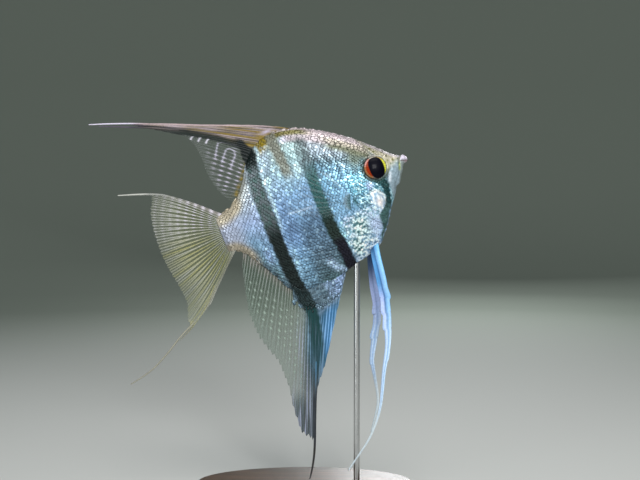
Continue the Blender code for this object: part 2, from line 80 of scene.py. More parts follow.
FIRST_RING, CROWDING = 0.15, 1.25            # x of the first ring, and how much the rings crowd there
EYE_AT = (15.5, 1.6)           # x and z of its centre
GILL_CENTRE = (2.0, -4.0)      # the middle of the gill cover's round edges
CLEFT = [(-0.6, -0.85), (1.2, -0.5), (3.0, 0.1)]                     # between the lips
LIP_FOLD = [(2.6, 2.4), (3.5, 1.6), (4.3, -0.6), (5.2, -3.2), (5.9, -5.0)]   # behind the lips
JAW_LINE = [(5.9, -5.0), (8.2, -7.6), (10.2, -10.6)]
CHEEK_AT, CHEEK_SIZE = (19.5, -12.4), (3.4, 4.8)
NOSTRIL_AT = (8.6, 4.6)
FULL_TURN = 6.283              # radians, near enough for waves


def place(points):
    """Turns x to run forwards, pitches the fish nose up and carries its snout to its place."""
    x, y, z = np.moveaxis(np.asarray(points, float), -1, 0)
    ahead = SNOUT_X - (x * math.cos(PITCH) + z * math.sin(PITCH)) * MM
    above = SNOUT_Z + (z * math.cos(PITCH) - x * math.sin(PITCH)) * MM
    return np.stack([ahead, y * MM, above], axis=-1)


def smooth(knots, at):
    """A monotone cubic through (x, value) knots: Hermite pieces whose slopes are harmonic means."""
    x, v = np.array(knots, float).T
    step, slope = np.diff(x), np.diff(v) / np.diff(x)
    left, right = slope[:-1], slope[1:]
    same = left * right > 0
    w1, w2 = 2 * step[1:] + step[:-1], step[1:] + 2 * step[:-1]
    mean = (w1 + w2) / (w1 / np.where(same, left, 1) + w2 / np.where(same, right, 1))
    tangent = np.concatenate([[slope[0]], np.where(same, mean, 0), [slope[-1]]])
    at = np.clip(np.asarray(at, float), x[0], x[-1])
    i = np.clip(np.searchsorted(x, at) - 1, 0, len(step) - 1)
    t = (at - x[i]) / step[i]
    return ((2 * t**3 - 3 * t**2 + 1) * v[i] + (t**3 - 2 * t**2 + t) * step[i] * tangent[i]
            + (3 * t**2 - 2 * t**3) * v[i + 1] + (t**3 - t**2) * step[i] * tangent[i + 1])


def ramp(value, low, high):
    """0 below low, 1 above high, and a smooth cubic step between. low may be above high."""
    t = np.clip((value - low) / (high - low), 0, 1)
    return t * t * (3 - 2 * t)


def band(value, low, first, last, high):
    """0 below low, 1 from first to last, and 0 again above high, with smooth steps between."""
    return ramp(value, low, first) * ramp(value, high, last)


def hump(value, middle, half):
    """A bell of height 1 at middle that falls to a third at half to either side."""
    return np.exp(-((value - middle) / half) ** 2)


def spot(x, z, at, half):
    """An oval patch: the product of a bell in x and a bell in z."""
    return hump(x, at[0], half[0]) * hump(z, at[1], half[1])


def away(x, z, point):
    """The distance from (x, z) to a point."""
    return np.hypot(x - point[0], z - point[1])


def to_line(x, z, line):
    """The distance from (x, z) to the nearest point of a broken line."""
    nearest = np.inf
    for (x0, z0), (x1, z1) in zip(line[:-1], line[1:]):
        run = (x1 - x0) ** 2 + (z1 - z0) ** 2
        t = np.clip(((x - x0) * (x1 - x0) + (z - z0) * (z1 - z0)) / run, 0, 1)
        nearest = np.minimum(nearest, np.hypot(x - x0 - t * (x1 - x0), z - z0 - t * (z1 - z0)))
    return nearest


def unit(vectors):
    """The vectors at length 1."""
    return vectors / np.maximum(np.linalg.norm(vectors, axis=-1, keepdims=True), 1e-9)


def ripple(x, z, seed, size):
    """Soft unevenness between -1 and 1: twelve sine waves of about one size, in seeded directions."""
    draw = np.random.default_rng(seed)
    turns, phases = draw.uniform(0, FULL_TURN, 12), draw.uniform(0, FULL_TURN, 12)
    total = np.zeros(np.broadcast(x, z).shape)
    for turn, phase, stretch in zip(turns, phases, draw.uniform(0.6, 1.6, 12)):
        across = x * math.cos(turn) + z * math.sin(turn)
        total += np.sin(across * FULL_TURN / (size * stretch) + phase)
    return np.clip(total / 3.5, -1, 1)


def body_at(x, turn, grow):
    """The body's surface: height follows the turn's sine from belly line to back line, width its
    cosine raised to the keel's power, both swollen by grow."""
    level, out = np.sin(turn), np.cos(turn)
    back, belly = smooth(BACK, x) + grow, smooth(BELLY, x) - grow
    keel = np.where(level > 0, smooth(BACK_KEEL, x), smooth(BELLY_KEEL, x))
    z = (back + belly) / 2 + (back - belly) / 2 * level
    y = (smooth(HALF_WIDTH, x) + grow) * np.sign(out) * np.abs(out) ** keel
    return np.stack([x + 0 * y, y, z], axis=-1)


def cheek_share(x, z):
    """0 at the cheek plate's middle and 1 at its rim, an ellipse that leans forwards as it falls."""
    wide = (x - CHEEK_AT[0]) * 0.96 - (z - CHEEK_AT[1]) * 0.28
    long = (z - CHEEK_AT[1]) * 0.96 + (x - CHEEK_AT[0]) * 0.28
    return np.hypot(wide / CHEEK_SIZE[0], long / CHEEK_SIZE[1])


def relief(x, z):
    """How far the skin stands out, in millimetres, seen from the side."""
    gill = away(x, z, GILL_CENTRE)
    bearing = np.degrees(np.arctan2(z - GILL_CENTRE[1], x - GILL_CENTRE[0]))
    rear_edge = band(bearing, -66, -56, 30, 40)
    front_edge = band(bearing, -60, -50, 6, 16)
    ledge = 0.14 * band(gill, 24.5, 27.0, 27.4, 27.9) - 0.07 * hump(gill, 28.0, 0.5)
    rise = rear_edge * ledge - front_edge * 0.12 * hump(gill, 19.6, 0.5)
    eye = away(x, z, EYE_AT)
    rise = rise + 0.05 * hump(eye, 5.9, 0.6) - 2.4 * ramp(eye, 5.15, 4.2)
    cleft = to_line(x, z, CLEFT)
    rise = rise + (0.2 * hump(cleft, 0.9, 0.5) - 0.32 * hump(cleft, 0, 0.28)) * ramp(x, -0.3, 0.8)
    rise = rise - 0.32 * hump(to_line(x, z, LIP_FOLD), 0, 0.5) - 0.22 * hump(to_line(x, z, JAW_LINE), 0, 0.5)
    rise = rise + 0.3 * ramp(cheek_share(x, z), 1.15, 0.45)
    nostril = away(x, z, NOSTRIL_AT)
    rise = rise - 0.5 * hump(nostril, 0, 0.4) + 0.14 * hump(nostril, 0.75, 0.25)
    bare = ramp(x, 13, 6)
    return rise + (0.03 + 0.02 * bare) * ripple(x, z, 5, 2.4)


def skin_at(x, turn, lift):
    """The body's surface, moved out along its own normal by lift and by the relief."""
    step, small_turn = 0.02, 0.004
    here = body_at(x, turn, -SKIN_DEPTH)
    aft = body_at(np.minimum(x + step, BODY_LENGTH), turn, -SKIN_DEPTH)
    fore = body_at(np.maximum(x - step, 0), turn, -SKIN_DEPTH)
    over = body_at(x, turn + small_turn, -SKIN_DEPTH)
    under = body_at(x, turn - small_turn, -SKIN_DEPTH)
    normal = unit(np.cross(over - under, aft - fore))
    return here + normal * (lift + relief(here[..., 0], here[..., 2]))[..., None], normal


# The markings: colours of the living fish, and partly painted shade. Each list of tones runs from belly (0)
# to back (1)
SHOULDER_TONES = [(0.0, (0.27, 0.42, 0.62)), (0.12, (0.3, 0.48, 0.68)), (0.24, (0.27, 0.5, 0.62)),
                  (0.33, (0.19, 0.36, 0.54)), (0.61, (0.145, 0.31, 0.45)), (0.75, (0.068, 0.12, 0.15)),
                  (0.86, (0.27, 0.32, 0.37)), (1.0, (0.3, 0.3, 0.32))]
# Flank, rear and tailward tones darken towards the belly: partly the fish's own colour, partly painted shade
# from light that falls from above.
FLANK_TONES_AND_SHADE = [(0.0, (0.064, 0.122, 0.134)), (0.15, (0.086, 0.142, 0.19)), (0.38, (0.104, 0.182, 0.286)),
               (0.6, (0.22, 0.395, 0.625)), (0.8, (0.375, 0.54, 0.57)), (1.0, (0.39, 0.48, 0.47))]
REAR_TONES_AND_SHADE = [(0.0, (0.1, 0.17, 0.23)), (0.18, (0.16, 0.3, 0.44)), (0.36, (0.15, 0.26, 0.45)),
              (0.59, (0.198, 0.325, 0.53)), (0.78, (0.355, 0.51, 0.625)), (1.0, (0.52, 0.6, 0.7))]
TAILWARD_TONES_AND_SHADE = [(0.0, (0.105, 0.17, 0.205)), (0.14, (0.125, 0.215, 0.265)), (0.38, (0.2, 0.34, 0.5)),
                  (0.63, (0.34, 0.44, 0.66)), (0.84, (0.34, 0.39, 0.44)), (1.0, (0.42, 0.43, 0.39))]
ROSE, NAPE_OLIVE, GOLD = (0.7, 0.6, 0.63), (0.12, 0.13, 0.085), (0.3, 0.215, 0.012)
BACK_OLIVE, DUSKY, MAUVE = (0.135, 0.12, 0.035), (0.225, 0.225, 0.18), (0.43, 0.37, 0.4)
TURQUOISE, TEMPLE, TEMPLE_SPOT = (0.105, 0.32, 0.43), (0.04, 0.105, 0.135), (0.075, 0.1, 0.078)
CHEEK_BLUE, WORM_BLUE, CHIN_LILAC = (0.03, 0.12, 0.165), (0.62, 0.92, 1.0), (0.52, 0.62, 0.92)
SEA_GREEN, GLINT_BLUE, GLINT_GREEN = (0.04, 0.15, 0.15), (0.68, 0.78, 1.0), (0.78, 1.0, 1.0)
BREAST_LILAC, CRESCENT_HIGHLIGHT, STALK_WARM = (0.6, 0.72, 1.0), (0.86, 0.97, 1.0), (0.5, 0.43, 0.31)
TAN, SNOUT_BLUE, LIP_LILAC = (0.52, 0.48, 0.37), (0.31, 0.41, 0.48), (0.76, 0.7, 0.84)
GREEN_BLACK, BLACK = (0.014, 0.026, 0.022), (0.006, 0.006, 0.014)

# The bars, as z and x up their middles, and as z and half the width
EYE_BAR = [(-28.3, 23.9), (-25.8, 21.6), (-22, 20.0), (-19.5, 19.2), (-16.4, 16.6), (-12, 14.6),
           (-7.4, 14.2), (-3.8, 15.4), (1.5, 15.3)]
EYE_BAR_HALF = [(-28.3, 0.6), (-25.8, 0.8), (-22, 2.0), (-19.5, 2.5), (-16.4, 1.8), (-12, 1.2),
                (-7.4, 1.8), (-3.8, 2.6)]
FRONT_BAR = [(-37, 41.8), (-25.4, 42.7), (-14.3, 44.0), (3.2, 43.9), (12.5, 43.6), (34, 42.5)]
SHORT_BAR = [(8, 52.6), (14.4, 53.4), (31, 54.6), (36, 55.0)]
REAR_BAR = [(-110, 84.0), (-59, 69.2), (-48.3, 67.2), (-41, 67.7), (-29.9, 69.1), (-13.3, 69.4),
            (1.7, 69.1), (16.9, 68.8), (24, 67.2), (29, 67.0), (33.7, 67.8), (38.0, 70.0)]
REAR_BAR_HALF = [(-110, 2.6), (-40, 2.9), (-12, 3.1), (3, 3.4), (17, 3.3), (24, 2.9), (29, 3.4),
                 (33.7, 2.0), (38, 1.6)]
BELLY_FRONT = [(50.4, -30.4), (48.0, -34.6), (45.2, -36.4)]          # bright scales above the vent
PORES = [(59.8, -3.0), (54.6, -3.7), (48.7, -3.9)]                   # the side line, where it shows
SNOUT_STREAK = [(9.9, -3.2), (11.4, -6.4)]


def blend(under, over, share):
    """The colour under, covered by the colour over to the given share at each point."""
    under, over = np.asarray(under, float), np.asarray(over, float)
    return under + (over - under) * np.asarray(share)[..., None]


def coats(colour, *layers):
    """The colour under several layers, each a colour and its share, the last one on top."""
    for over, share in layers:
        colour = blend(colour, over, share)
    return colour


def shaded(colour, light):
    """The colour, times a light at each point."""
    return colour * light[..., None]


def across_bar(x, z, line, half, soft):
    """1 inside a bar and 0 outside it, with an uneven edge soft millimetres wide."""
    middle = smooth(line, z)
    edge = half + 0.28 * ripple(x * 0.6, z, 11, 2.6)
    return ramp(np.abs(x - middle), edge + soft / 2, edge - soft / 2)


def rear_bar(x, z, soft):
    """1 inside the rear bar, which runs on into both fins."""
    return across_bar(x, z, REAR_BAR, smooth(REAR_BAR_HALF, z), soft)


def tone(share, tones):
    """The colour at a share of the way from belly to back, read between the listed tones."""
    at = [level for level, _ in tones]
    return np.stack([np.interp(share, at, [shade[k] for _, shade in tones]) for k in range(3)], axis=-1)


def levels(x, z):
    """The share of the way from belly to back at (x, z), and the depth below the back."""
    back, belly = smooth(BACK, x), smooth(BELLY, x)
    return (z - belly) / np.maximum(back - belly, 1), back - z


def paint_gill_cover(colour, x, z):
    """Turquoise gill cover and cheek with bright worm lines, and a dark temple behind the eye."""
    head = ramp(away(x, z, GILL_CENTRE), 29.5, 26.0)
    cheek = head * band(z, -19, -14, -2, 2) * ramp(x, 31, 26)
    worms = np.exp(-(ripple(x, z, 41, 3.6) / 0.26) ** 2)
    return coats(
        colour,
        (TURQUOISE, head * band(z, -20, -13, 0, 6)),
        ((0.3, 0.42, 0.62), head * ramp(z, -5, -8) * ramp(x, 19, 23) * ramp(z, -16, -12) * 0.5),
        (TEMPLE, head * spot(x, z, (24.0, 5.5), (5.0, 4.8))),
        (TEMPLE_SPOT, np.clip(1.25 * spot(x, z, (22.2, 9.8), (3.6, 4.2)), 0, 0.94)),
        (CHEEK_BLUE, cheek * (0.55 + 0.28 * ramp(x, 22, 28))),
        (WORM_BLUE, cheek * worms * 0.85),
        (CHIN_LILAC, spot(x, z, (20.8, -5.0), (1.5, 1.6)) * 0.9))


def paint_breast(colour, x, z, mottle):
    """Lilac in front and sea green behind, under short bright dashes that rise forwards: painted glints of
    the silvery breast scales, with painted shade between them.
    """
    lilac = spot(x, z, (24.5, -22.0), (3.4, 4.2))
    green = np.maximum(spot(x, z, (31.0, -21.5), (4.4, 5.6)), spot(x, z, (35.8, -28.8), (2.8, 4.6)))
    colour = blend(colour, SEA_GREEN, np.clip(green * 1.2, 0, 0.92))
    breast = ramp(x, 40, 37) * ramp(z, -12, -16) * ramp(x - smooth(EYE_BAR, z), 1.5, 3.0) * (1 - 0.85 * lilac)
    # Painted glints and shade: the dashes are brightened and whitened, and the skin between them is darkened.
    long, wide = x * 0.92 - z * 0.39, x * 0.39 + z * 0.92
    glint_dash = ramp(ripple(long * 0.48, wide, 43, 1.75), -0.22, 0.06)
    colour = shaded(colour, 1 + breast * (0.28 - 0.46 * (1 - glint_dash)))
    colour = coats(
        colour,
        ((0.26, 0.46, 0.64), spot(x, z, (30.2, -26.4), (2.8, 2.6)) * breast * 0.6),
        (blend(GLINT_BLUE, GLINT_GREEN, np.clip(green * 1.6, 0, 1)),
         breast * glint_dash * np.clip(0.84 + 0.2 * green + 0.1 * ramp(z, -24, -28), 0, 1)),
        (BREAST_LILAC, lilac * 0.92))
    lines = 0.5 + 0.5 * np.sin((0.35 * x + 0.94 * z) * FULL_TURN / 1.3 + 1.5 * mottle)
    colour = shaded(colour, 1 - 0.3 * lilac * lines)
    return blend(colour, (0.035, 0.12, 0.125), spot(x, z, (29.6, -9.0), (1.1, 2.2)) * 0.85)


def paint_flank(colour, x, z, share, deep, mottle):
    """Bright scales beside the rear bar, dark wavy lines low down, the side line's pores, and the
    pale tail stalk with its warm edges."""
    colour = coats(
        colour,
        ((0.34, 0.54, 0.7), spot(x, z, (64.6, -24), (1.5, 7)) * 0.6),
        ((0.3, 0.43, 0.7), spot(x, z, (75.4, -17.5), (2.0, 4.0)) * 0.7))
    waves = np.sin((0.978 * z - 0.21 * x) * FULL_TURN / 1.65 + 1.3 * mottle)
    low_flank = ramp(z, -14, -24) * band(x, 44, 48, 61, 67)
    return coats(
        shaded(colour, 1 + low_flank * (0.34 * waves - 0.06)),
        ((0.34, 0.46, 0.64), hump(to_line(x, z, BELLY_FRONT), 0, 1.5) * 0.8),
        ((0.56, 0.72, 0.94), hump(to_line(x, z, PORES), 0, 0.42) * 0.75),
        ((0.38, 0.43, 0.56), ramp(x, 79, 86)),
        ((0.48, 0.53, 0.68), ramp(x, 86.5, 90)),
        (STALK_WARM, ramp(x, 76, 81) * ramp(deep, 8.0, 3.5) * 0.95),
        ((0.4, 0.35, 0.27), ramp(x, 78, 83) * ramp(share, 0.32, 0.14)))


def paint_back(colour, x, z, deep, mottle):
    """The nape, olive under a rose edge, then olive and gold where the dorsal fin rises, and the
    short dusky bar below it."""
    fine = 1 + 0.16 * np.sin(deep * FULL_TURN + mottle)
    mauve = band(x, 27, 34, 47, 52) * ramp(deep, 7.8, 5.6)
    gold = hump(x, 60.2, 4.6) * ramp(deep, 8.0, 3.2) * (0.85 + 0.4 * mottle)
    short_bar = across_bar(x, z, SHORT_BAR, 2.4, 2.0)
    return coats(
        colour,
        (NAPE_OLIVE, band(x, 12, 17, 30, 36) * ramp(deep, 11.0, 7.5)),
        (shaded(np.array(MAUVE), fine), mauve * 0.9),
        ((0.41, 0.365, 0.31), band(x, 14, 19, 30, 36) * ramp(deep, 7.4, 4.6) * 0.85),
        (ROSE, band(x, 15, 20, 36, 43) * ramp(deep, 4.2, 2.2)),
        (BACK_OLIVE, band(x, 34, 42, 58, 66) * ramp(deep, 4.0, 2.8)),
        ((0.7, 0.64, 0.84), spot(x, z, (49.7, 29.2), (1.9, 1.3)) * (0.6 + 0.4 * mottle)),
        (GOLD, np.clip(gold, 0, 1)),
        (ROSE, band(x, 30, 34, 52, 58) * ramp(deep, 1.3, 0.6) * 0.8),
        (DUSKY, short_bar * ramp(z, 9, 16) * 0.92),
        ((0.56, 0.74, 0.78), spot(x, z, (48.6, 14.5), (2.4, 2.6)) * 0.8))


def paint_snout(colour, x, z, deep, mottle):
    """Tan above with darker spots, blue-silver below, and lilac lips in front of a dark fold."""
    snout = ramp(x - 0.55 * np.maximum(z - 5, 0), 13.2, 11.6) * ramp(away(x, z, EYE_AT), 4.8, 5.8)
    spots = np.clip(ripple(x, z, 19, 1.7), 0, 1)
    lips = ramp(x - 0.42 * np.maximum(-z, 0), 4.4, 3.2)
    fold_tone = blend((0.36, 0.42, 0.1), (0.12, 0.12, 0.04), ramp(z, -1.2, 0.0))
    return coats(
        colour,
        (SNOUT_BLUE, snout * ramp(z, 4, -2)),
        (blend(TAN, (0.2, 0.2, 0.07), spots), snout * ramp(z + 0.25 * x, -0.5, 4.0)),
        ((0.66, 0.6, 0.61), ramp(x, 20, 14) * ramp(deep, 2.4, 1.1) * ramp(x, 3, 5)),
        ((0.78, 0.86, 0.94), hump(to_line(x, z, SNOUT_STREAK), 0, 0.6) * 0.9),
        ((0.3, 0.36, 0.36), lips),
        ((0.5, 0.38, 0.42), lips * hump(x, 0.6, 1.3) * ramp(z, -2.4, -1.6)),
        (LIP_LILAC, lips * ramp(z + 0.3 * (1.2 - x), -0.5, 0.1) * (0.85 + 0.15 * mottle)),
        (fold_tone, hump(to_line(x, z, LIP_FOLD), 0, 0.5) * ramp(z, -4.2, -3.0) * 0.85),
        ((0.16, 0.1, 0.1), hump(to_line(x, z, CLEFT), 0, 0.3) * 0.75),
        ((0.03, 0.03, 0.02), hump(away(x, z, NOSTRIL_AT), 0, 0.45)))


def paint_cheek_plate(colour, x, z):
    """A pale creased plate below the eye, with a painted highlight, a bright arc, along its rear rim."""
    plate = cheek_share(x, z)
    creases = ramp(ripple(x * 1.3 - z * 0.5, z * 0.5 + x * 0.3, 44, 1.9), -0.25, 0.35)
    # The bright arc along the plate's rim is a painted highlight.
    highlight_crescent = hump(plate, 0.9, 0.15) * ramp((z + 12.6) - 1.2 * (x - 19.4), -1.5, 2.0)
    return coats(
        colour,
        (blend((0.3, 0.48, 0.66), (0.84, 0.95, 1.0), creases), ramp(plate, 1.12, 0.86)),
        ((0.96, 0.84, 0.8), spot(x, z, (19.3, -13.6), (1.5, 2.0)) * 0.9),
        ((0.34, 0.44, 0.58), hump(plate, 0.66, 0.1) * ramp(x, 19.8, 18.2) * ramp(z, -16, -13) * 0.8),
        (CRESCENT_HIGHLIGHT, highlight_crescent))


def paint_bars(colour, x, z):
    """The bars through the eye, behind the gill cover and down to the anal fin, and the bright
    scales that border the last one in front."""
    eye_bar = across_bar(x, z, EYE_BAR, smooth(EYE_BAR_HALF, z), 0.9) * ramp(z, 4, 0)
    front = across_bar(x, z, FRONT_BAR, 2.6 + 0.5 * ramp(z, 4, 20), 1.2 + 2.4 * ramp(z, 2, 20))
    patchy = 0.72 + 0.26 * ripple(x, z, 14, 3.2)
    ahead = smooth(REAR_BAR, z) - smooth(REAR_BAR_HALF, z) - x
    murk = blend((0.068, 0.122, 0.116), (0.118, 0.138, 0.155), 0.5 + 0.5 * ripple(x, z * 0.6, 15, 2.8))
    rear = rear_bar(x, z, 1.2)
    return coats(
        colour,
        (blend((0.008, 0.045, 0.045), (0.05, 0.12, 0.11), ramp(z, -15, -18)), eye_bar * 0.96),
        ((0.072, 0.094, 0.1), front * band(z, 4, 14, 24, 32) * patchy),
        ((0.024, 0.105, 0.105), front * ramp(z, 17, 8)),
        (GREEN_BLACK, front * ramp(z, -4, -14)),
        (BLACK, front * ramp(z, -20, -24)),
        ((0.52, 0.72, 0.84), hump(ahead, 0.9, 0.8) * band(z, -14, 2, 32, 34) * 0.95),
        (murk, rear),
        ((0.006, 0.012, 0.012), rear * np.maximum(ramp(z, 0, -12), ramp(z, 20, 25)) * 0.97))


def paint_eye_rim(colour, x, z):
    """A dark rim round the eye, paler in front and above."""
    eye = away(x, z, EYE_AT)
    bearing = np.arctan2(z - EYE_AT[1], EYE_AT[0] - x)       # from straight ahead, up over the eye
    rim = coats(
        (0.014, 0.048, 0.045),
        ((0.44, 0.42, 0.28), hump(bearing, 0.15, 0.75)),
        ((0.62, 0.58, 0.52), hump(bearing, 1.3, 0.55)))
    rim_out = 7.0 - 0.9 * hump(bearing, 1.1, 1.0)
    return coats(
        colour,
        (rim, ramp(eye, rim_out, rim_out - 0.6) * ramp(eye, 4.6, 5.0) * 0.93),
        ((0.012, 0.02, 0.016), hump(eye, 5.2, 0.36) * 0.9))


def markings(x, z):
    """The fish's colour at (x, z), the same for the skin and for the scales over it. Low on the flank it
    holds painted shade, on the breast painted glints and on the cheek plate a painted highlight.
    """
    share, deep = levels(x, z)
    mottle = ripple(x, z, 8, 2.2)
    colour = coats(
        tone(share, SHOULDER_TONES),
        (tone(share, FLANK_TONES_AND_SHADE), ramp(x, 40, 45)),
        (tone(share, REAR_TONES_AND_SHADE), ramp(x, 55, 61)),
        (tone(share, TAILWARD_TONES_AND_SHADE), ramp(x, 70, 74)))
    colour = shaded(colour, 1 + 0.1 * ripple(x, z, 6, 7.0) + 0.08 * mottle)
    colour = paint_gill_cover(colour, x, z)
    colour = paint_breast(colour, x, z, mottle)
    colour = paint_flank(colour, x, z, share, deep, mottle)
    colour = paint_back(colour, x, z, deep, mottle)
    colour = paint_snout(colour, x, z, deep, mottle)
    colour = paint_cheek_plate(colour, x, z)
    colour = paint_bars(colour, x, z)
    return np.clip(paint_eye_rim(colour, x, z), 0, 1)


def scaled(x, z):
    """1 where scales cover the skin, 0 on the snout, the lips, the eye's rim and the cheek plate."""
    snout = ramp(x + 0.25 * z, 10.5, 12.0)
    clear_of_eye = ramp(away(x, z, EYE_AT), 6.0, 6.4)
    clear_of_cheek = ramp(cheek_share(x, z), 0.92, 1.02)
    return snout * clear_of_eye * clear_of_cheek


def make_piece(name, points, faces, finish, tint=None, unwrap=None):
    """A smooth mesh from whole arrays: corners in metres, and faces as arrays of 3 or 4 corner
    numbers. tint is a colour for each point, with or without its clearness, and unwrap is the
    place of each point, or of each corner of each face, on the OFBake map."""
    corners = np.concatenate([part.ravel() for part in faces]).astype(np.int32)
    sizes = np.concatenate([np.full(len(part), part.shape[1]) for part in faces])
    starts = np.concatenate([[0], np.cumsum(sizes)[:-1]]).astype(np.int32)
    mesh = bpy.data.meshes.new(name)
    mesh.vertices.add(len(points))
    mesh.vertices.foreach_set("co", np.asarray(points, np.float32).ravel())
    mesh.loops.add(len(corners))
    mesh.loops.foreach_set("vertex_index", corners)
    mesh.polygons.add(len(sizes))
    mesh.polygons.foreach_set("loop_start", starts)
    mesh.update(calc_edges=True)
    mesh.validate()
    if tint is not None:
        shades = np.ones((len(points), 4), np.float32)
        shades[:, :tint.shape[-1]] = tint.reshape(len(points), -1)
        layer = mesh.attributes.new("tint", "FLOAT_COLOR", "POINT")
        layer.data.foreach_set("color", shades.ravel())
    if unwrap is not None:
        layer = mesh.uv_layers.new(name="OFBake")
        on_map = unwrap if len(unwrap) == len(corners) else unwrap[corners]
        layer.data.foreach_set("uv", np.asarray(on_map, np.float32).ravel())
    mesh.shade_smooth()
    mesh.materials.append(finish)
    obj = bpy.data.objects.new(name, mesh)
    bpy.context.scene.collection.objects.link(obj)
    return obj


def ring_quads(rings, around):
    """Quads between neighbouring rings, each ring closed on itself."""
    ring = np.arange(rings - 1)[:, None] * around
    here, after = np.arange(around)[None], (np.arange(around)[None] + 1) % around
    return np.stack([ring + here, ring + around + here, ring + around + after, ring + after],
                    axis=-1).reshape(-1, 4)


def pole_fan(ring_start, around, pole):
    """Triangles that close a ring onto one point."""
    here = ring_start + np.arange(around)
    after = ring_start + (np.arange(around) + 1) % around
    return np.stack([here, after, np.full(around, pole)], axis=-1)


def tube_faces(rings, around):
    """A closed tube: rings joined by quads, and each end closed onto one of two last points."""
    count = rings * around
    return [ring_quads(rings, around), pole_fan(0, around, count),
            pole_fan(count - around, around, count + 1)[:, ::-1]]


def new_material(name):
    """A new material, and a function that adds a node to it, or finds its shader. A setting named
    like an input, with _ for each space, takes a value or another node's output. Any other one is
    a property of the node. The function returns the node's outputs."""
    material = bpy.data.materials.new(name)
    material.use_nodes = True
    tree = material.node_tree

    def node(kind, **settings):
        shader = kind == "Shader"
        made = tree.nodes["Principled BSDF"] if shader else tree.nodes.new("ShaderNode" + kind)
        for key, value in settings.items():
            label = key.replace("_", " ")
            if label not in made.inputs:
                setattr(made, key, value)
            elif isinstance(value, bpy.types.NodeSocket):
                tree.links.new(value, made.inputs[label])
            else:
                made.inputs[label].default_value = value
        return made.outputs

    return material, node


def noise(node, scale, detail, roughness=0.5, where=None, **settings):
    """Cloudy noise over the object's own space, unless another place is given."""
    where = where or node("TexCoord")["Object"]
    return node("TexNoise", Vector=where, Scale=scale, Detail=detail, Roughness=roughness, **settings)["Fac"]


def spread(node, value, low, high, **settings):
    """The value, carried from its own reach to the one from low to high."""
    return node("MapRange", Value=value, To_Min=low, To_Max=high, **settings)["Result"]


def times(node, colour, factor):
    """The colour, multiplied."""
    return node("Mix", data_type="RGBA", blend_type="MULTIPLY", Factor=1.0, A=colour, B=factor)["Result"]


def bump(node, height, strength, distance):
    """The normal of a fine relief."""
    return node("Bump", Height=height, Strength=strength, Distance=distance)["Normal"]


def skin_finish():
    """Wet hide: the markings, with painted shade where scales cover it, broken up by fine mottling, under a
    clear film of slime.
    """
    material, node = new_material("angelfish_skin")
    grain = noise(node, 900.0, 4.0, 0.6)
    mottle = spread(node, grain, 0.72, 1.28, From_Min=0.3, From_Max=0.72)
    node("Shader", Base_Color=times(node, node("Attribute", attribute_name="tint")["Color"], mottle),
         Roughness=spread(node, noise(node, 260.0, 3.0), 0.26, 0.46), Normal=bump(node, grain, 0.25, 0.00012),
         Metallic=0.25, Specular_IOR_Level=0.3, Coat_Weight=0.16, Coat_Roughness=0.18)
    return material


def build_skin():
    """Rings at stations that crowd towards the snout. The map is cut open along the left side."""
    station = (np.arange(SKIN_RINGS) / (SKIN_RINGS - 1)) ** CROWDING
    x = FIRST_RING + (BODY_LENGTH - FIRST_RING) * station[:, None] * np.ones((1, SKIN_AROUND))
    turn = np.linspace(0, 2 * math.pi, SKIN_AROUND, endpoint=False)[None] + 0 * x
    rings, _ = skin_at(x, turn, 0.0)
    ends = np.array([[-0.05, 0, 0], [BODY_LENGTH + 0.2, 0, rings[-1, :, 2].mean()]])
    points = np.concatenate([rings.reshape(-1, 3), ends])
    faces = tube_faces(SKIN_RINGS, SKIN_AROUND)
    # Painted shade: the skin is darkened by up to 0.42 where scales cover it, in the gaps between them.
    covered = ramp(points[:, 0], 8, 14) * scaled(points[:, 0], points[:, 2])
    tint = shaded(markings(points[:, 0], points[:, 2]), 1 - 0.42 * covered)
    corner = np.concatenate([part.ravel() for part in faces])
    u = np.append(np.repeat(station, SKIN_AROUND), [0, 1])[corner]
    v = np.append(np.tile(np.arange(SKIN_AROUND) / SKIN_AROUND, SKIN_RINGS), [0, 0])[corner]
    quads = v[:faces[0].size].reshape(-1, 4)
    quads += (quads.max(axis=1, keepdims=True) > 0.9) & (quads < 0.1)
    unwrap = np.stack([0.02 + 0.96 * u, 0.02 + 0.96 * v], axis=1)
    skin = make_piece("skin", place(points), faces, skin_finish(), tint, unwrap)
    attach(skin, "root")
    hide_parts("head", "lower_jaw", "gill_cover_right", "gill_cover_left", "trunk",
                "tail_stalk")


build_skin()


# ---- The scales -------------------------------------------------------------------------------
# Thin horny shields that overlap like roof tiles, each rooted in the skin at its front edge and
# free at its rounded rear edge. They are small, silvered beneath and set in slanting rows; the
# cheek and gill cover carry finer ones, and the snout is bare.

SCALE_STEP, SCALE_RISE = 1.45, 1.18          # from scale to scale along a row, and from row to row
CHEEK_STEP, CHEEK_RISE = 1.12, 0.96
CHEEK_RADIUS = 27.7                          # how far the finer scales reach from GILL_CENTRE
SCALE_RIM = 10                               # corners round each scale's rim
SCALE_SPREAD = 1.55                          # a scale's size, in steps and rises
SKIN_TURNS = 91                              # odd, so that the middle one is level


def section_heights(x):
    """The distance round the skin from the widest level up to each of many turns, at each x."""
    turn = np.radians(np.linspace(-90, 90, SKIN_TURNS))
    points = body_at(x[:, None] + 0 * turn, turn + 0 * x[:, None], -SKIN_DEPTH)
    step = np.linalg.norm(np.diff(points, axis=1), axis=2)
    length = np.concatenate([np.zeros((len(x), 1)), np.cumsum(step, axis=1)], axis=1)
    return turn, length - length[:, SKIN_TURNS // 2][:, None]


def turn_at(x, height):
    """The turn at which a point lies the given distance round the skin from the widest level."""
    turn, length = section_heights(x)
    below = np.clip((length < height[:, None]).sum(axis=1) - 1, 0, SKIN_TURNS - 2)
    row = np.arange(len(x))
    share = (height - length[row, below]) / (length[row, below + 1] - length[row, below])
    return turn[below] + np.clip(share, 0, 1) * (turn[below + 1] - turn[below])


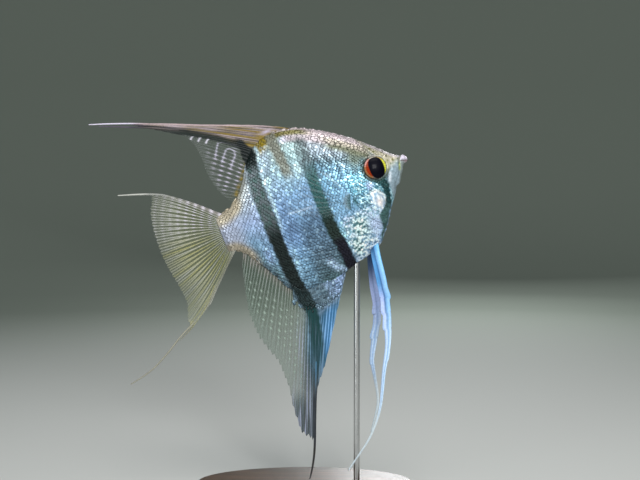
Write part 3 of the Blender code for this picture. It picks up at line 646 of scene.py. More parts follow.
def scale_places(step, rise, first, last, head, draw):
    """Roots of scales in brick rows: even steps back, even distances round the skin, each row
    bent up at its ends below the flank, and all nudged a little."""
    column, row = np.meshgrid(np.arange(int((last - first) / step)), np.arange(-60, 61))
    x = (first + (column + 0.5 * (row % 2)) * step).ravel()
    height = (row * rise).ravel().astype(float)
    x = x + draw.normal(0, 0.05, len(x)) * step
    height = height + draw.normal(0, 0.05, len(x)) * rise
    height = height + (0.28 * (x - 52) + 0.012 * (x - 53) ** 2) * ramp(height, -4, -34) * ramp(x, 80, 68)
    _, length = section_heights(x)
    keep = (height < length[:, -1] - 0.25) & (height > length[:, 0] + 0.25)
    x, height = x[keep], height[keep]
    root_x, _, root_z = body_at(x, turn_at(x, height), -SKIN_DEPTH).T
    keep = (away(root_x, root_z, GILL_CENTRE) < CHEEK_RADIUS) == head
    keep &= scaled(root_x, root_z) > 0.5
    return x[keep], height[keep]


def scale_shape():
    """One scale in a unit frame: a rim of ten corners, a raised ring inside it, and two middles.
    Returns (aft, up, out) for each corner, how strongly each one takes the painted glint (0 on the rim), and
    the triangles that close the scale."""
    turn = 2 * math.pi * np.arange(SCALE_RIM) / SCALE_RIM
    rim = np.stack([0.62 * np.cos(turn), 0.6 * np.sin(turn) * (1 - 0.18 * np.cos(turn)), 0 * turn],
                   axis=1)
    inner = rim * (0.56, 0.56, 1) + (0.05, 0, 0.075)
    shape = np.concatenate([rim, inner, [[0.05, 0, 0.1]], [[-0.1, 0, -0.1]]])
    here, after = np.arange(SCALE_RIM), (np.arange(SCALE_RIM) + 1) % SCALE_RIM
    ring, top, under = SCALE_RIM, 2 * SCALE_RIM, 2 * SCALE_RIM + 1
    faces = np.concatenate([
        np.stack([here, after, ring + after], axis=1), np.stack([here, ring + after, ring + here], axis=1),
        np.stack([ring + here, ring + after, np.full(SCALE_RIM, top)], axis=1),
        np.stack([after, here, np.full(SCALE_RIM, under)], axis=1)])
    lit = np.where(np.arange(len(shape)) >= SCALE_RIM, 1.0, 0.0)
    return shape, lit, faces


def square_to(normal, way):
    """The part of a direction that is square to the normal, at length 1."""
    return unit(way - normal * (way * normal).sum(axis=1, keepdims=True))


def scale_points(root, aft, normal, a, b, c):
    """Each scale's corners: a along its aft axis, b square to that, and c out of the skin."""
    up = np.cross(aft, normal)
    return (root[:, None] + aft[:, None] * a[..., None] + up[:, None] * b[..., None]
            + normal[:, None] * c[..., None])


def scale_piece(name, side, finish, points, colour, x, v):
    """All scales as one mesh, mirrored for its side. On the map each scale is a small patch of its
    own, at its root's place."""
    shape, _, faces = scale_shape()
    order = faces if side > 0 else faces[:, ::-1]
    every = (order[None] + np.arange(len(x))[:, None, None] * len(shape)).reshape(-1, 3)
    station = ((x - FIRST_RING) / (BODY_LENGTH - FIRST_RING)) ** (1 / CROWDING)
    centre = 0.02 + 0.96 * np.stack([station, v], axis=1)
    patch = centre[:, None] + shape[None, :, :2] * 0.0024
    return make_piece(name, place((points * (1, side, 1)).reshape(-1, 3)), [every], finish,
                      np.clip(colour, 0, 1), patch.reshape(-1, 2))


def glitter(x, z):
    """How strongly the painted glints on the scales flash at (x, z): most on shoulder, gill cover, cheek and
    breast.
    """
    share, deep = levels(x, z)
    flash = 0.42 + 0.34 * ramp(x, 46, 38) - 0.26 * ramp(share, 0.3, 0.12) * band(x, 40, 46, 60, 66)
    flash = (flash + 0.22 * ramp(share, 0.55, 0.75) * ramp(x, 42, 48)) * (1 - 0.72 * ramp(x, 74, 79))
    flash = flash + 0.45 * spot(x, z, (64.6, -24), (1.7, 7)) + 0.4 * spot(x, z, (75.6, -17.5), (2.4, 4.5))
    flash = flash + 0.45 * hump(to_line(x, z, BELLY_FRONT), 0, 1.5)
    bars = np.maximum(across_bar(x, z, FRONT_BAR, 2.5, 1.2) * ramp(z, 26, 14), rear_bar(x, z, 1.2))
    short_bar = across_bar(x, z, [SHORT_BAR[0], SHORT_BAR[-1]], 2.4, 2.0) * ramp(z, 9, 16)
    matt = np.maximum.reduce([
        ramp(deep, 5.5, 3.5), 0.9 * ramp(deep, 10.5, 7.5) * ramp(x, 35, 29),
        0.8 * spot(x, z, (24.5, -22.0), (3.4, 4.2)),
        np.clip(1.3 * spot(x, z, (22.6, 8.6), (5.0, 5.0)), 0, 0.95),
        band(x, 27, 34, 47, 52) * ramp(deep, 7.8, 5.6),
        ramp(x, 40, 36) * ramp(z, 1, -3) * (0.65 + 0.25 * ramp(z, -12, -16))])    # under worms and dashes
    return np.clip(flash * (1 - 0.9 * bars) * (1 - 0.8 * matt) * (1 - 0.6 * short_bar), 0, 1)


def lay_scales(name, side, finish, seed):
    """Places the unit scale on every root: its aft axis along the row, its out axis along the
    skin's normal, tilted so that its rear edge stands clear of the next scale's root. The scales
    lie flatter and calmer on the nape and along the back."""
    draw = np.random.default_rng(seed)
    fields = []
    for step, rise, first, last, head in ((SCALE_STEP, SCALE_RISE, 15.0, 91.5, False),
                                          (CHEEK_STEP, CHEEK_RISE, 9.0, 32.0, True)):
        x, height = scale_places(step, rise, first, last, head, draw)
        fields.append([x, height, step + 0 * x, rise + 0 * x])
    x, height, step, rise = np.concatenate(fields, axis=1)
    turn = turn_at(x, height)
    root, normal = skin_at(x, turn, 0.0)
    ahead = np.clip(x + 0.3, 0, BODY_LENGTH)
    along_row = body_at(ahead, turn_at(ahead, height), -SKIN_DEPTH) - body_at(x, turn, -SKIN_DEPTH)
    aft = square_to(normal, along_row)
    swing = draw.normal(0, 0.1, len(x))[:, None]
    aft = aft * np.cos(swing) + np.cross(aft, normal) * np.sin(swing)
    flash = draw.beta(0.9, 1.5, len(x))[:, None]
    deep = smooth(BACK, x) - root[:, 2]
    calm = np.maximum(ramp(deep, 10.0, 6.0) * ramp(x, 46, 36), 0.8 * ramp(deep, 5.0, 2.5) * ramp(x, 69, 73))
    tilt = (0.15 + draw.normal(0, 0.035, len(x))) * (1 - 0.75 * calm)
    roll = draw.normal(0, 0.05, len(x)) * (1 - 0.75 * calm)
    shape, lit, _ = scale_shape()
    shape_aft, shape_up, shape_out = shape.T[:, None]
    out = shape_out + shape_aft * tilt[:, None] + shape_up * roll[:, None]
    out = out * (step * (1 - 0.7 * calm))[:, None] / SCALE_STEP + 0.06 - 0.03 * calm[:, None]
    points = scale_points(root, aft, normal, shape_aft * (SCALE_SPREAD * step)[:, None],
                          shape_up * (SCALE_SPREAD * rise)[:, None], out)
    # Painted light on each scale: a glint of random strength on its raised middle, and painted shade on its
    # rim that deepens towards the rear edge.
    gleam = (glitter(x, root[:, 2]) * (1 - 0.75 * calm))[:, None]
    rear = np.clip(shape_aft / 0.6, -1, 1)
    light = 1 + gleam * (lit * (2.5 * flash - 0.42) - (1 - lit) * (0.66 + 0.2 * rear))
    # Painted shade on the lower flank: the upper half of each scale is lightened and the lower half darkened,
    # as if lit from above.
    painted_row_shade = (ramp(height, -8, -20) * ramp(x, 38, 44))[:, None]
    light = light + painted_row_shade * (1.5 * shape_up + 0.12 * lit)
    colour = shaded(markings(points[..., 0], points[..., 2]), np.clip(light, 0.22, 4.0))
    # The brightest painted glints are whitened.
    white = np.clip(gleam * lit * (flash - 0.6) * 1.3, 0, 0.6)
    colour = blend(colour, (0.72, 0.92, 0.98), white * ramp(colour.mean(axis=-1), 0.05, 0.25))
    v = (turn if side > 0 else math.pi - turn) / (2 * math.pi) % 1
    piece = scale_piece(name, side, finish, points, colour, x, v)
    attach(piece, "root")


def scale_finish():
    """Silvered horn: the markings with their painted glints and shade, as metal, with fine growth rings,
    under a thin clear film.
    """
    material, node = new_material("angelfish_scales")
    grain = noise(node, 1400.0, 3.0, 0.6)
    node("Shader", Base_Color=node("Attribute", attribute_name="tint")["Color"],
         Roughness=spread(node, grain, 0.24, 0.48), Normal=bump(node, grain, 0.35, 0.00006),
         Metallic=0.45, Specular_IOR_Level=0.3, Coat_Weight=0.16, Coat_Roughness=0.14)
    return material


silvered = scale_finish()
lay_scales("scales_right", -1, silvered, seed=21)
lay_scales("scales_left", 1, silvered, seed=22)


# ---- The eyes ---------------------------------------------------------------------------------
# A clear wet dome over a wide black pupil. The iris is a narrow ring: pale gold above, yellow in
# front and orange-red behind. The ball sits deep in the head and faces a little up and forwards.

EYE_OUT = 5.55                 # y of the eye's centre
EYE_FACING = (-0.17, 1.0, 0.08)
EYE_RADIUS, EYE_DOME, EYE_DEPTH = 5.2, 1.9, 3.4
EYE_RINGS, EYE_AROUND = 64, 96
PUPIL_AT, PUPIL_HALF = (-0.4, -0.22), (3.5, 4.9)      # aft and up of the eye's centre


def eye_tint(aft, up):
    """The eye's colours by the place on its disc: fine threads round a pupil that is an oval with
    flattened sides, the root of order 2.5 of its summed powers."""
    rim = np.hypot(aft, up) / EYE_RADIUS
    pupil = (np.abs((aft - PUPIL_AT[0]) / PUPIL_HALF[0]) ** 2.5
             + np.abs((up - PUPIL_AT[1]) / PUPIL_HALF[1]) ** 2.5) ** 0.4
    bearing = np.arctan2(up, aft)
    threads = 0.75 + 0.25 * np.sin(bearing * 46 + 3 * np.sin(bearing * 7)) * ramp(rim, 0.5, 0.8)
    behind, above = np.cos(bearing), np.sin(bearing)
    outer = ramp(rim, 0.82, 0.9)
    iris = coats(
        (0.44, 0.38, 0.24),
        ((0.66, 0.62, 0.52), ramp(above, 0.55, 0.85)),
        ((0.36, 0.036, 0.005), ramp(behind, 0.1, 0.5)),
        ((0.44, 0.24, 0.1), ramp(behind, 0.35, 0.7) * outer * 0.8),
        ((0.8, 0.4, 0.36), ramp(behind, 0.25, 0.5) * ramp(above, 0.3, 0.6) * (0.1 + 0.9 * outer)),
        ((0.78, 0.78, 0.08), ramp(behind, -0.2, -0.7) * ramp(above, 0.85, 0.45)),
        ((0.62, 0.4, 0.08), ramp(behind, -0.2, -0.6) * ramp(above, 0.35, 0.7) * 0.7),
        ((0.18, 0.17, 0.15), ramp(above, -0.7, -0.92)))
    return coats(
        shaded(iris, threads),
        ((0.02, 0.02, 0.015), ramp(rim, 0.955, 1.0)),
        ((0.002, 0.002, 0.006), ramp(pupil, 1.03, 0.97)))


def eye_finish():
    """The flecked iris and the black pupil, under a thin wet film."""
    material, node = new_material("angelfish_eye")
    tint = node("Attribute", attribute_name="tint")["Color"]
    flecks = spread(node, noise(node, 2500.0, 2.0), 0.75, 1.25)
    node("Shader", Base_Color=times(node, tint, flecks), Roughness=0.4, Specular_IOR_Level=0.04,
         Coat_Weight=0.06, Coat_Roughness=0.03, Coat_IOR=1.38)
    return material


def build_eye(side_name, side, finish):
    """A ball of rings about its pole, the way that it faces, domed outside and deep inside. The
    rings run from the left end of the pole to its right end."""
    pole = unit(np.array(EYE_FACING) * (side, 1, side))
    aft_way = unit(np.array([1.0, 0, 0]) - pole[0] * pole)
    up_way = np.cross(aft_way, pole)
    lift = np.pi * np.arange(1, EYE_RINGS)[:, None] / EYE_RINGS
    spin = 2 * np.pi * np.arange(EYE_AROUND)[None] / EYE_AROUND
    aft, up = EYE_RADIUS * np.sin(lift) * np.cos(spin), EYE_RADIUS * np.sin(lift) * np.sin(spin)
    reach = np.where(np.cos(lift) * side > 0, EYE_DOME, EYE_DEPTH) * np.cos(lift)
    centre = np.array([EYE_AT[0], side * EYE_OUT, EYE_AT[1]])
    ball = centre + aft_way * aft[..., None] + up_way * up[..., None] + pole * reach[..., None]
    left, right = (EYE_DOME, EYE_DEPTH) if side > 0 else (EYE_DEPTH, EYE_DOME)
    points = np.concatenate([ball.reshape(-1, 3), centre + pole * [[left], [-right]]])
    tint = np.concatenate([eye_tint(aft, up).reshape(-1, 3), np.full((2, 3), 0.003)])
    shown = np.append(aft / EYE_RADIUS / 4.2 + 0.5, [0.5, 0.5])
    risen = np.append(lift / np.pi + 0 * up, [0.0, 1.0])
    eye = make_piece("eye_" + side_name + "_ball", place(points), tube_faces(EYE_RINGS - 1, EYE_AROUND),
                     finish, tint, np.stack([shown, risen], axis=1))
    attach(eye, "root")
    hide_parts("eye_" + side_name)


wet_eye = eye_finish()
for side_name, side in (("right", -1), ("left", 1)):
    build_eye(side_name, side, wet_eye)


# ---- The median fins --------------------------------------------------------------------------
# Dorsal, anal and tail fins: fans of horny rays, jointed and split towards their tips, with a
# clear web of skin between them. Each ray is a ridge on both faces of the web. The front rays of
# dorsal and anal fin are unbranched spines laid close together, and some run on as threads.

WEB_THICK = 0.16
WEB_CELLS, WEB_ROWS = 8, 72                  # cells from ray to ray, and points along a ray
THREAD_ROWS, THREAD_AROUND, THREAD_RIDGES, THREAD_THICK = 60, 12, 4, 0.8
# Each fin: its key rays, as x and z of the root, x and z of the tip, and how far they bow; the
# rays' numbers, as key ray and number; the wave in which it stands off the midplane, as its height
# at the margin, the waves along the margin and where the first one starts, as a share of a turn;
# how deep its root is sunk; and how far its margin is drawn in between the rays
DORSAL_RAYS = [(44.2, 32.4, 44.9, 33.5, 0), (47.6, 33.8, 60.0, 40.8, 0),
               (51.5, 34.2, 81.6, 49.8, 0.2), (55.0, 34.2, 100.0, 57.8, 0.5),
               (57.5, 33.9, 112.0, 62.4, 0.9), (59.0, 33.4, 108.5, 59.6, 0.8),
               (61.0, 32.6, 102.0, 55.4, 0.8), (63.5, 31.2, 96.0, 51.4, 0.8),
               (66.0, 29.4, 91.4, 48.2, 0.8), (69.0, 26.2, 88.8, 43.2, 0.8),
               (72.0, 22.2, 87.8, 36.2, 0.6), (75.0, 17.8, 88.0, 28.0, 0.4),
               (78.0, 14.2, 86.4, 19.6, 0.2), (81.0, 11.6, 83.4, 13.4, 0)]
ANAL_RAYS = [(45.7, -37.8, 46.8, -39.8, 0), (49.0, -38.8, 57.0, -54.4, 0),
             (53.0, -39.8, 71.0, -74.6, 0), (57.0, -40.6, 78.5, -83.8, 0.3),
             (60.0, -40.9, 85.0, -98.0, 0.4), (62.0, -41.0, 88.2, -105.0, 0.4),
             (64.0, -41.0, 89.6, -102.6, 0.3), (66.5, -40.6, 92.4, -98.0, 0),
             (69.0, -39.4, 91.7, -87.0, 0), (71.5, -36.8, 90.0, -76.0, 0),
             (73.5, -33.6, 90.0, -66.0, 0), (76.0, -28.6, 92.4, -57.6, 0),
             (78.5, -24.0, 94.3, -48.6, 0), (81.0, -19.8, 94.3, -40.0, 0),
             (83.5, -15.6, 92.4, -30.4, 0), (86.0, -11.9, 89.0, -17.8, 0)]
TAIL_RAYS = [(88.6, 8.4, 107.8, 25.5, 0.5), (89.8, 7.0, 115.0, 29.2, 1.2),
             (90.5, 5.8, 115.8, 27.0, 1.2), (91.0, 4.2, 119.4, 20.0, 0.7),
             (91.2, 2.4, 121.2, 11.0, 0.3), (91.3, 0.4, 121.8, 1.5, 0),
             (91.2, -2.0, 121.2, -6.5, -0.2), (91.0, -4.0, 119.8, -15.0, -0.5),
             (90.7, -5.6, 119.0, -23.0, -0.9), (90.3, -6.9, 121.4, -31.2, -1.4),
             (89.8, -7.8, 121.0, -33.8, -1.5), (89.4, -8.4, 115.0, -31.4, -0.7),
             (88.6, -9.4, 108.2, -27.8, 0.4)]
DORSAL = {"rays": DORSAL_RAYS, "numbers": [(0, 0), (4, 11), (7, 17), (13, 34)], "wave": (2.2, 0.9, 0.35),
          "sunk": 2.8, "frayed": 1.2}
ANAL = {"rays": ANAL_RAYS, "numbers": [(0, 0), (6, 15), (9, 22), (15, 40)], "wave": (3.0, 0.8, 0.1),
        "sunk": 2.8, "frayed": 1.6}
TAIL = {"rays": TAIL_RAYS, "numbers": [(0, 0), (2, 3), (9, 27), (12, 31)], "wave": (3.2, 1.1, 0.6),
        "sunk": 2.6, "frayed": 0.8}
# The threads: the key ray that each one carries on, and its line as x, z and width
DORSAL_THREADS = [(4, [(90.0, 52.4, 0.4), (103.5, 58.9, 0.55), (112.0, 62.5, 0.62), (121.0, 66.0, 0.6),
                       (129.2, 69.0, 0.36)]),
                  (5, [(92.0, 51.2, 0.5), (104.0, 57.2, 0.7), (113.0, 61.2, 0.7), (119.0, 63.9, 0.6),
                       (125.5, 66.6, 0.4)])]
ANAL_THREADS = [(5, [(74.0, -71.2, 0.7), (85.0, -97.0, 1.0), (87.9, -103.9, 1.0), (91.0, -110.6, 0.9),
                     (94.3, -116.2, 0.75), (96.9, -119.9, 0.5)])]
TAIL_THREADS = [(1, [(101.0, 18.2, 0.5), (109.5, 26.2, 0.7), (114.5, 28.7, 0.8), (121.0, 31.2, 0.7),
                     (129.4, 34.1, 0.45)]),
                (10, [(103.0, -21.0, 0.5), (112.5, -29.8, 0.7), (118.0, -32.6, 0.75), (126.5, -36.4, 0.7),
                      (136.5, -42.0, 0.65), (146.4, -46.3, 0.55), (157.0, -48.6, 0.42)]),
                (11, [(104.0, -20.6, 0.4), (109.6, -26.6, 0.6), (114.6, -31.0, 0.6), (121.0, -34.9, 0.5),
                      (128.0, -38.2, 0.2)])]


def along(rows, at):
    """Rows of numbers, read on smooth curves at places counted in rows."""
    rows = np.array(rows, float)
    index = np.arange(len(rows))
    return np.stack([smooth(np.stack([index, column], axis=1), at) for column in rows.T], axis=-1)


def sway(fin, spot_share, distance):
    """How far the fin stands off the midplane: its wave's height times the distance from the root,
    as a share of the longest ray, times the sine of the wave, which turns on with the distance."""
    height, waves, first = fin["wave"]
    rays = np.array(fin["rays"])
    reach = distance / np.linalg.norm(rays[:, 2:4] - rays[:, 0:2], axis=1).max()
    return height * reach * np.sin(2 * math.pi * (waves * spot_share + first) + 1.5 * reach)


def fan(fin, cells, rows):
    """A fan of rays. Ray numbers rise evenly over the columns, with so many cells to a ray, and are
    turned into places among the key rays. A point is root + (tip - root) s, bowed square to the
    ray by 4 s (1 - s). Each column's end is drawn in between the rays."""
    total = fin["numbers"][-1][1]
    number = np.linspace(0, total, int(total * cells) + 1)
    place_among = np.interp(number, [n for _, n in fin["numbers"]], [k for k, _ in fin["numbers"]])
    key = along(fin["rays"], place_among)
    root, tip, bow = key[:, None, 0:2], key[:, None, 2:4], key[:, None, 4:5]
    length = np.linalg.norm(tip - root, axis=2, keepdims=True)
    line = (tip - root) / length
    square = np.stack([-line[..., 1], line[..., 0]], axis=2)
    between = np.abs((number - np.round(number)))[:, None, None]
    drawn_in = np.minimum(0.25, fin["frayed"] * between * 2 / length)
    share = np.linspace(0, 1, rows)[None, :, None] * (1 - drawn_in)
    start = -fin["sunk"] / length * (1 - share) ** 8
    flat = root + (tip - root) * (share + start) + square * bow * 4 * share * (1 - share)
    out = sway(fin, place_among[:, None, None] / (len(fin["rays"]) - 1), share * length)
    middle = np.concatenate([flat[..., :1], out, flat[..., 1:]], axis=2)
    return middle, number[:, None] + 0 * share[..., 0], share[..., 0], length[..., 0] * share[..., 0]


def ray_ridge(number, share, split_from, width):
    """1 along the middle of each ray and 0 on the web. Past split_from a ray parts into two
    branches that draw away from each other."""
    phase = number - np.round(number)
    apart = 0.26 * ramp(share, split_from, 1.0)
    near = np.minimum(np.abs(phase - apart), np.abs(phase + apart))
    return np.exp(-(near / width) ** 2)


def sheet_faces(columns, rows):
    """Both faces of a sheet and the rim between them, as quads on two grids of points."""
    c, r = np.meshgrid(np.arange(columns - 1), np.arange(rows - 1), indexing="ij")
    a = c * rows + r
    front = np.stack([a, a + 1, a + rows + 1, a + rows], axis=-1).reshape(-1, 4)
    total = columns * rows
    back = front[:, ::-1] + total
    edge = np.concatenate([np.arange(rows), np.arange(1, columns) * rows + rows - 1,
                           (columns - 1) * rows + np.arange(rows - 2, -1, -1),
                           np.arange(columns - 2, 0, -1) * rows])
    following = np.roll(edge, -1)
    rim = np.stack([edge, edge + total, following + total, following], axis=-1)
    return [np.concatenate([front, back, rim])]


def sheet_points(middle, thick):
    """The grid moved half its thickness to either side along its own normals."""
    off = unit(np.cross(np.gradient(middle, axis=0), np.gradient(middle, axis=1))) * thick[..., None] / 2
    return np.concatenate([(middle + off).reshape(-1, 3), (middle - off).reshape(-1, 3)])


def sheet_map(across, share):
    """The places of a sheet's points on the OFBake map: one face on the left, one on the right."""
    left = np.stack([0.02 + 0.46 * across, 0.02 + 0.94 * share], axis=-1).reshape(-1, 2)
    return np.concatenate([left, left + (0.5, 0)])


def thread_points(middle, width, thick, around, ridges):
    """Oval rings carried along a line, their width upright; ridges run along the thread."""
    way = unit(np.gradient(middle, axis=0))
    broad = unit(np.cross(way, [0.0, 1.0, 0.0]))
    flat = np.cross(broad, way)
    turn = np.linspace(0, 2 * math.pi, around, endpoint=False)[None, :, None]
    rib = 1 + 0.1 * np.cos(turn * ridges)
    rings = (middle[:, None] + broad[:, None] * np.cos(turn) * rib * width[:, None, None] / 2
             - flat[:, None] * np.sin(turn) * rib * thick[:, None, None] / 2)
    ends = np.array([middle[0] - way[0] * 0.2, middle[-1] + way[-1] * 0.2])
    return np.concatenate([rings.reshape(-1, 3), ends])


def fin_finish(name, roughness):
    """Web and rays: colour and clearness both come from the tint, the web nearly clear."""
    material, node = new_material(name)
    tint = node("Attribute", attribute_name="tint")
    grain = noise(node, 1200.0, 3.0)
    node("Shader", Base_Color=times(node, tint["Color"], spread(node, grain, 0.75, 1.25)),
         Alpha=tint["Alpha"], Normal=bump(node, grain, 0.3, 0.00008), Roughness=roughness,
         Specular_IOR_Level=0.2)
    return material


def build_fin(name, node, fin, threads, colouring, finish, split_from, ray_width, cells=WEB_CELLS,
              rows=WEB_ROWS):
    """One fin: its fan, ridged by its rays, joined by the threads that carry its longest rays on."""
    middle, number, share, distance = fan(fin, cells, rows)
    ridge = ray_ridge(number, share, split_from, ray_width)
    raised = (0.42 - 0.24 * share) * ridge * ramp(distance, -1, 4)
    points = sheet_points(middle, WEB_THICK + raised + 0.15 * ramp(distance, 6, 0))
    faces = sheet_faces(*middle.shape[:2])
    tint = colouring(middle[..., 0], middle[..., 2], number, share, distance, ridge)
    tint = np.concatenate([tint.reshape(-1, 4)] * 2)
    unwrap = sheet_map(number / fin["numbers"][-1][1], share)
    for strand, (ray, line) in enumerate(threads):
        x, z, width = along(line, np.linspace(0, len(line) - 1, THREAD_ROWS)).T
        out = sway(fin, ray / (len(fin["rays"]) - 1), away(x, z, fin["rays"][ray][:2]))
        tube = thread_points(np.stack([x, out, z], axis=1), width, np.minimum(width, THREAD_THICK),
                             THREAD_AROUND, THREAD_RIDGES)
        full = np.ones(len(tube))
        shade = colouring(tube[:, 0], tube[:, 2], ray * full, 1.2 * full, 60.0 * full, full)
        u = np.append(np.tile(np.arange(THREAD_AROUND) / THREAD_AROUND, THREAD_ROWS), [0.5, 0.5])
        v = np.append(np.repeat(np.linspace(0, 1, THREAD_ROWS), THREAD_AROUND), [0, 1])
        strip = np.stack([0.965 + 0.006 * strand + 0.005 * u, 0.02 + 0.94 * v], axis=1)
        faces = faces + [part + len(points) for part in tube_faces(THREAD_ROWS, THREAD_AROUND)]
        points, tint = np.concatenate([points, tube]), np.concatenate([tint, shade])
        unwrap = np.concatenate([unwrap, strip])
    made = make_piece(name, place(points), faces, finish, np.clip(tint, 0, 1), unwrap)
    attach(made, "root")
    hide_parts(node)


def paint(web, over, share, solid):
    """A web, as colour and clearness, covered by the colour over, and made at least so solid."""
    return blend(web[0], over, share), np.maximum(web[1], solid)


def joined(web):
    """The colour and the clearness as one tint."""
    return np.concatenate([web[0], np.clip(web[1], 0, 1)[..., None]], axis=-1)


def beads(distance, apart, long, first):
    """Pale beads on the rays: 1 in the middle of each, in rows that run parallel to the root."""
    row = (distance - first) / apart
    off = (row - np.round(row)) * apart
    return np.exp(-(off / long) ** 2)


TOP_EDGE = [(44.2, 34.2), (60.0, 40.8), (81.6, 49.8), (100.0, 57.8), (112.0, 62.6), (130.0, 69.2)]
DARK_EDGE = [(66.0, 31.0), (70.0, 35.0), (77.1, 41.2), (82.7, 44.7), (89.3, 49.1), (93.2, 50.9),
             (98.4, 53.5), (112, 60.4)]
# The two arches, as ray number times 1.8 and distance from the root
ARCHES = [[(44.1, 14.4), (35.5, 15.2), (33.8, 13.8), (32.6, 6.4)],
          [(45.4, 10.9), (38.8, 10.6), (37.2, 9.4), (37.8, 7.2), (40.2, 6.1), (46.0, 6.4)]]


def dorsal_strip(x, z, number, distance, ridge):
    """The opaque front strip: rose and gold streaks, a pale rim, and a hairline below the rim."""
    streaks = 0.5 + 0.5 * ripple(number * 0.8, distance * 0.12, 33, 2.2)
    gilt = ramp(ripple(number * 1.3, distance * 0.06, 31, 3.2), -0.2, 0.6)
    sooty = ramp(ripple(number * 1.5, distance * 0.05, 35, 2.4), 0.25, 0.8)
    root_gold = np.clip(0.6 + 0.55 * ripple(number * 1.6, distance * 0.35, 63, 2.2), 0, 0.95)
    strip = coats(
        (0.19, 0.15, 0.08),
        ((0.48, 0.39, 0.43), np.clip(ridge * 0.5 + streaks * 0.7, 0, 1)),
        ((0.24, 0.165, 0.015), gilt * 0.85 * ramp(x, 92, 74)),
        ((0.02, 0.022, 0.025), sooty * 0.75),
        ((0.3, 0.205, 0.012), hump(x, 57.5, 5.0) * ramp(distance, 8, 3) * root_gold))
    below_rim = z - smooth(TOP_EDGE, x)
    hairline = hump(below_rim, -1.2 - 0.107 * (106 - x), 0.32) * band(x, 86, 94, 112, 118)
    return coats(
        shaded(strip, 1 + 0.4 * band(x, 80, 90, 100, 108)),
        ((0.56, 0.43, 0.45), ramp(below_rim, -1.1, -0.4) * 0.8),
        ((0.66, 0.58, 0.78), spot(x, z, (55.5, 35.6), (2.6, 0.8)) * 0.8),
        ((0.04, 0.036, 0.05), hairline * 0.85))


def dorsal_tint(x, z, number, share, distance, ridge):
    """A clear rear web whose pale rays carry rows of lilac beads, with gold along its root and two
    bright arches; then the front strip, a dark line under it, and the rear bar."""
    bead = beads(distance, 3.9, 1.15, 2.6) * ramp(ridge, 0.05, 0.6) * ramp(distance, 1.5, 3.0)
    bead = bead * ramp(share, 0.96, 0.55) * ramp(z, 14, 20) * ramp(number, 22.2, 24.6)
    colour = blend((0.09, 0.11, 0.08), (0.3, 0.31, 0.33), ridge * 0.75)
    web = blend(colour, (0.64, 0.58, 0.74), bead * 0.9), 0.08 + 0.12 * ridge + 0.46 * bead
    gold = ramp(distance, 3.2, 1.4) * ramp(x, 66, 69) * ramp(number, 34.0, 31.5)
    gold = gold * (0.62 + 0.38 * ripple(x, z, 62, 2.6))
    web = paint(web, blend((0.2, 0.135, 0.012), (0.3, 0.23, 0.06), ridge), gold * 0.9, gold * 0.9)
    arches = np.maximum(*[hump(to_line(number * 1.8, distance, line), 0, 0.5) for line in ARCHES])
    ends = ramp(ridge, 0.2, 0.8) * hump(distance, 7.4, 1.6)
    ends = ends * band(number, 16.5, 17.5, 21.5, 22.5)
    arches = np.maximum(arches * (0.6 + 0.4 * ridge), ends)
    web = paint(web, (0.7, 0.66, 0.84), arches * 0.92, arches * 0.76)
    edge_x, edge_z = np.array(DARK_EDGE).T
    over = ramp(z - np.interp(x, edge_x, edge_z), -0.3, 0.9)
    web = paint(web, dorsal_strip(x, z, number, distance, ridge), over, over * (0.8 + 0.2 * ridge))
    dark = np.clip(1.35 * hump(to_line(x, z, DARK_EDGE), 0.3, 1.15), 0, 1)
    dark = dark * ramp(x, 66, 70) * (0.95 - 0.12 * ramp(x, 88, 96))
    web = paint(web, (0.012, 0.018, 0.016), dark * 0.97, dark * 0.98)
    ticks = beads(distance, 3.6, 0.48, 20.3) * ramp(np.abs(number - 19.9), 2.0, 1.3)
    ticks = ticks * band(distance, 18.4, 19.4, 28.4, 29.0)
    web = paint(web, (0.86, 0.82, 0.94), ticks * 0.9, ticks * 0.9)
    bar = rear_bar(x, z, 1.4) * ramp(z, 39, 36)
    web = paint(web, (0.006, 0.01, 0.01), bar, bar)
    end = ramp(x, 104, 114)
    end_tone = blend((0.095, 0.085, 0.115), (0.72, 0.66, 0.82), ramp(number, 4.6, 4.4))
    return joined(paint(web, end_tone, end * 0.92, end))


def anal_front(x, z, number, distance, ridge):
    """The streaked front half: lilac-blue and scaly near the root, azure lower down."""
    wavy = 0.5 + 0.5 * ripple(x * 0.5 + z * 0.3, z * 1.4, 17, 1.6)
    streaks = np.clip(0.9 * ridge + 0.5 * ripple(number, distance * 0.1, 18, 3.0), 0, 1)
    streaks = ramp(streaks, 0.15, 0.95)
    azure = hump(number, 4.6, 2.6) * ramp(distance, 9, 15) * ramp(z, -84, -72)
    return coats(
        (0.024, 0.075, 0.11),
        ((0.21, 0.37, 0.56), streaks),
        (blend((0.085, 0.14, 0.19), (0.26, 0.36, 0.5), wavy), ramp(distance, 15, 7)),
        (blend((0.014, 0.04, 0.05), (0.17, 0.26, 0.34), streaks), ramp(distance, 24, 40) * 0.85),
        (blend((0.04, 0.16, 0.33), (0.24, 0.47, 0.82), streaks), azure * 0.92))


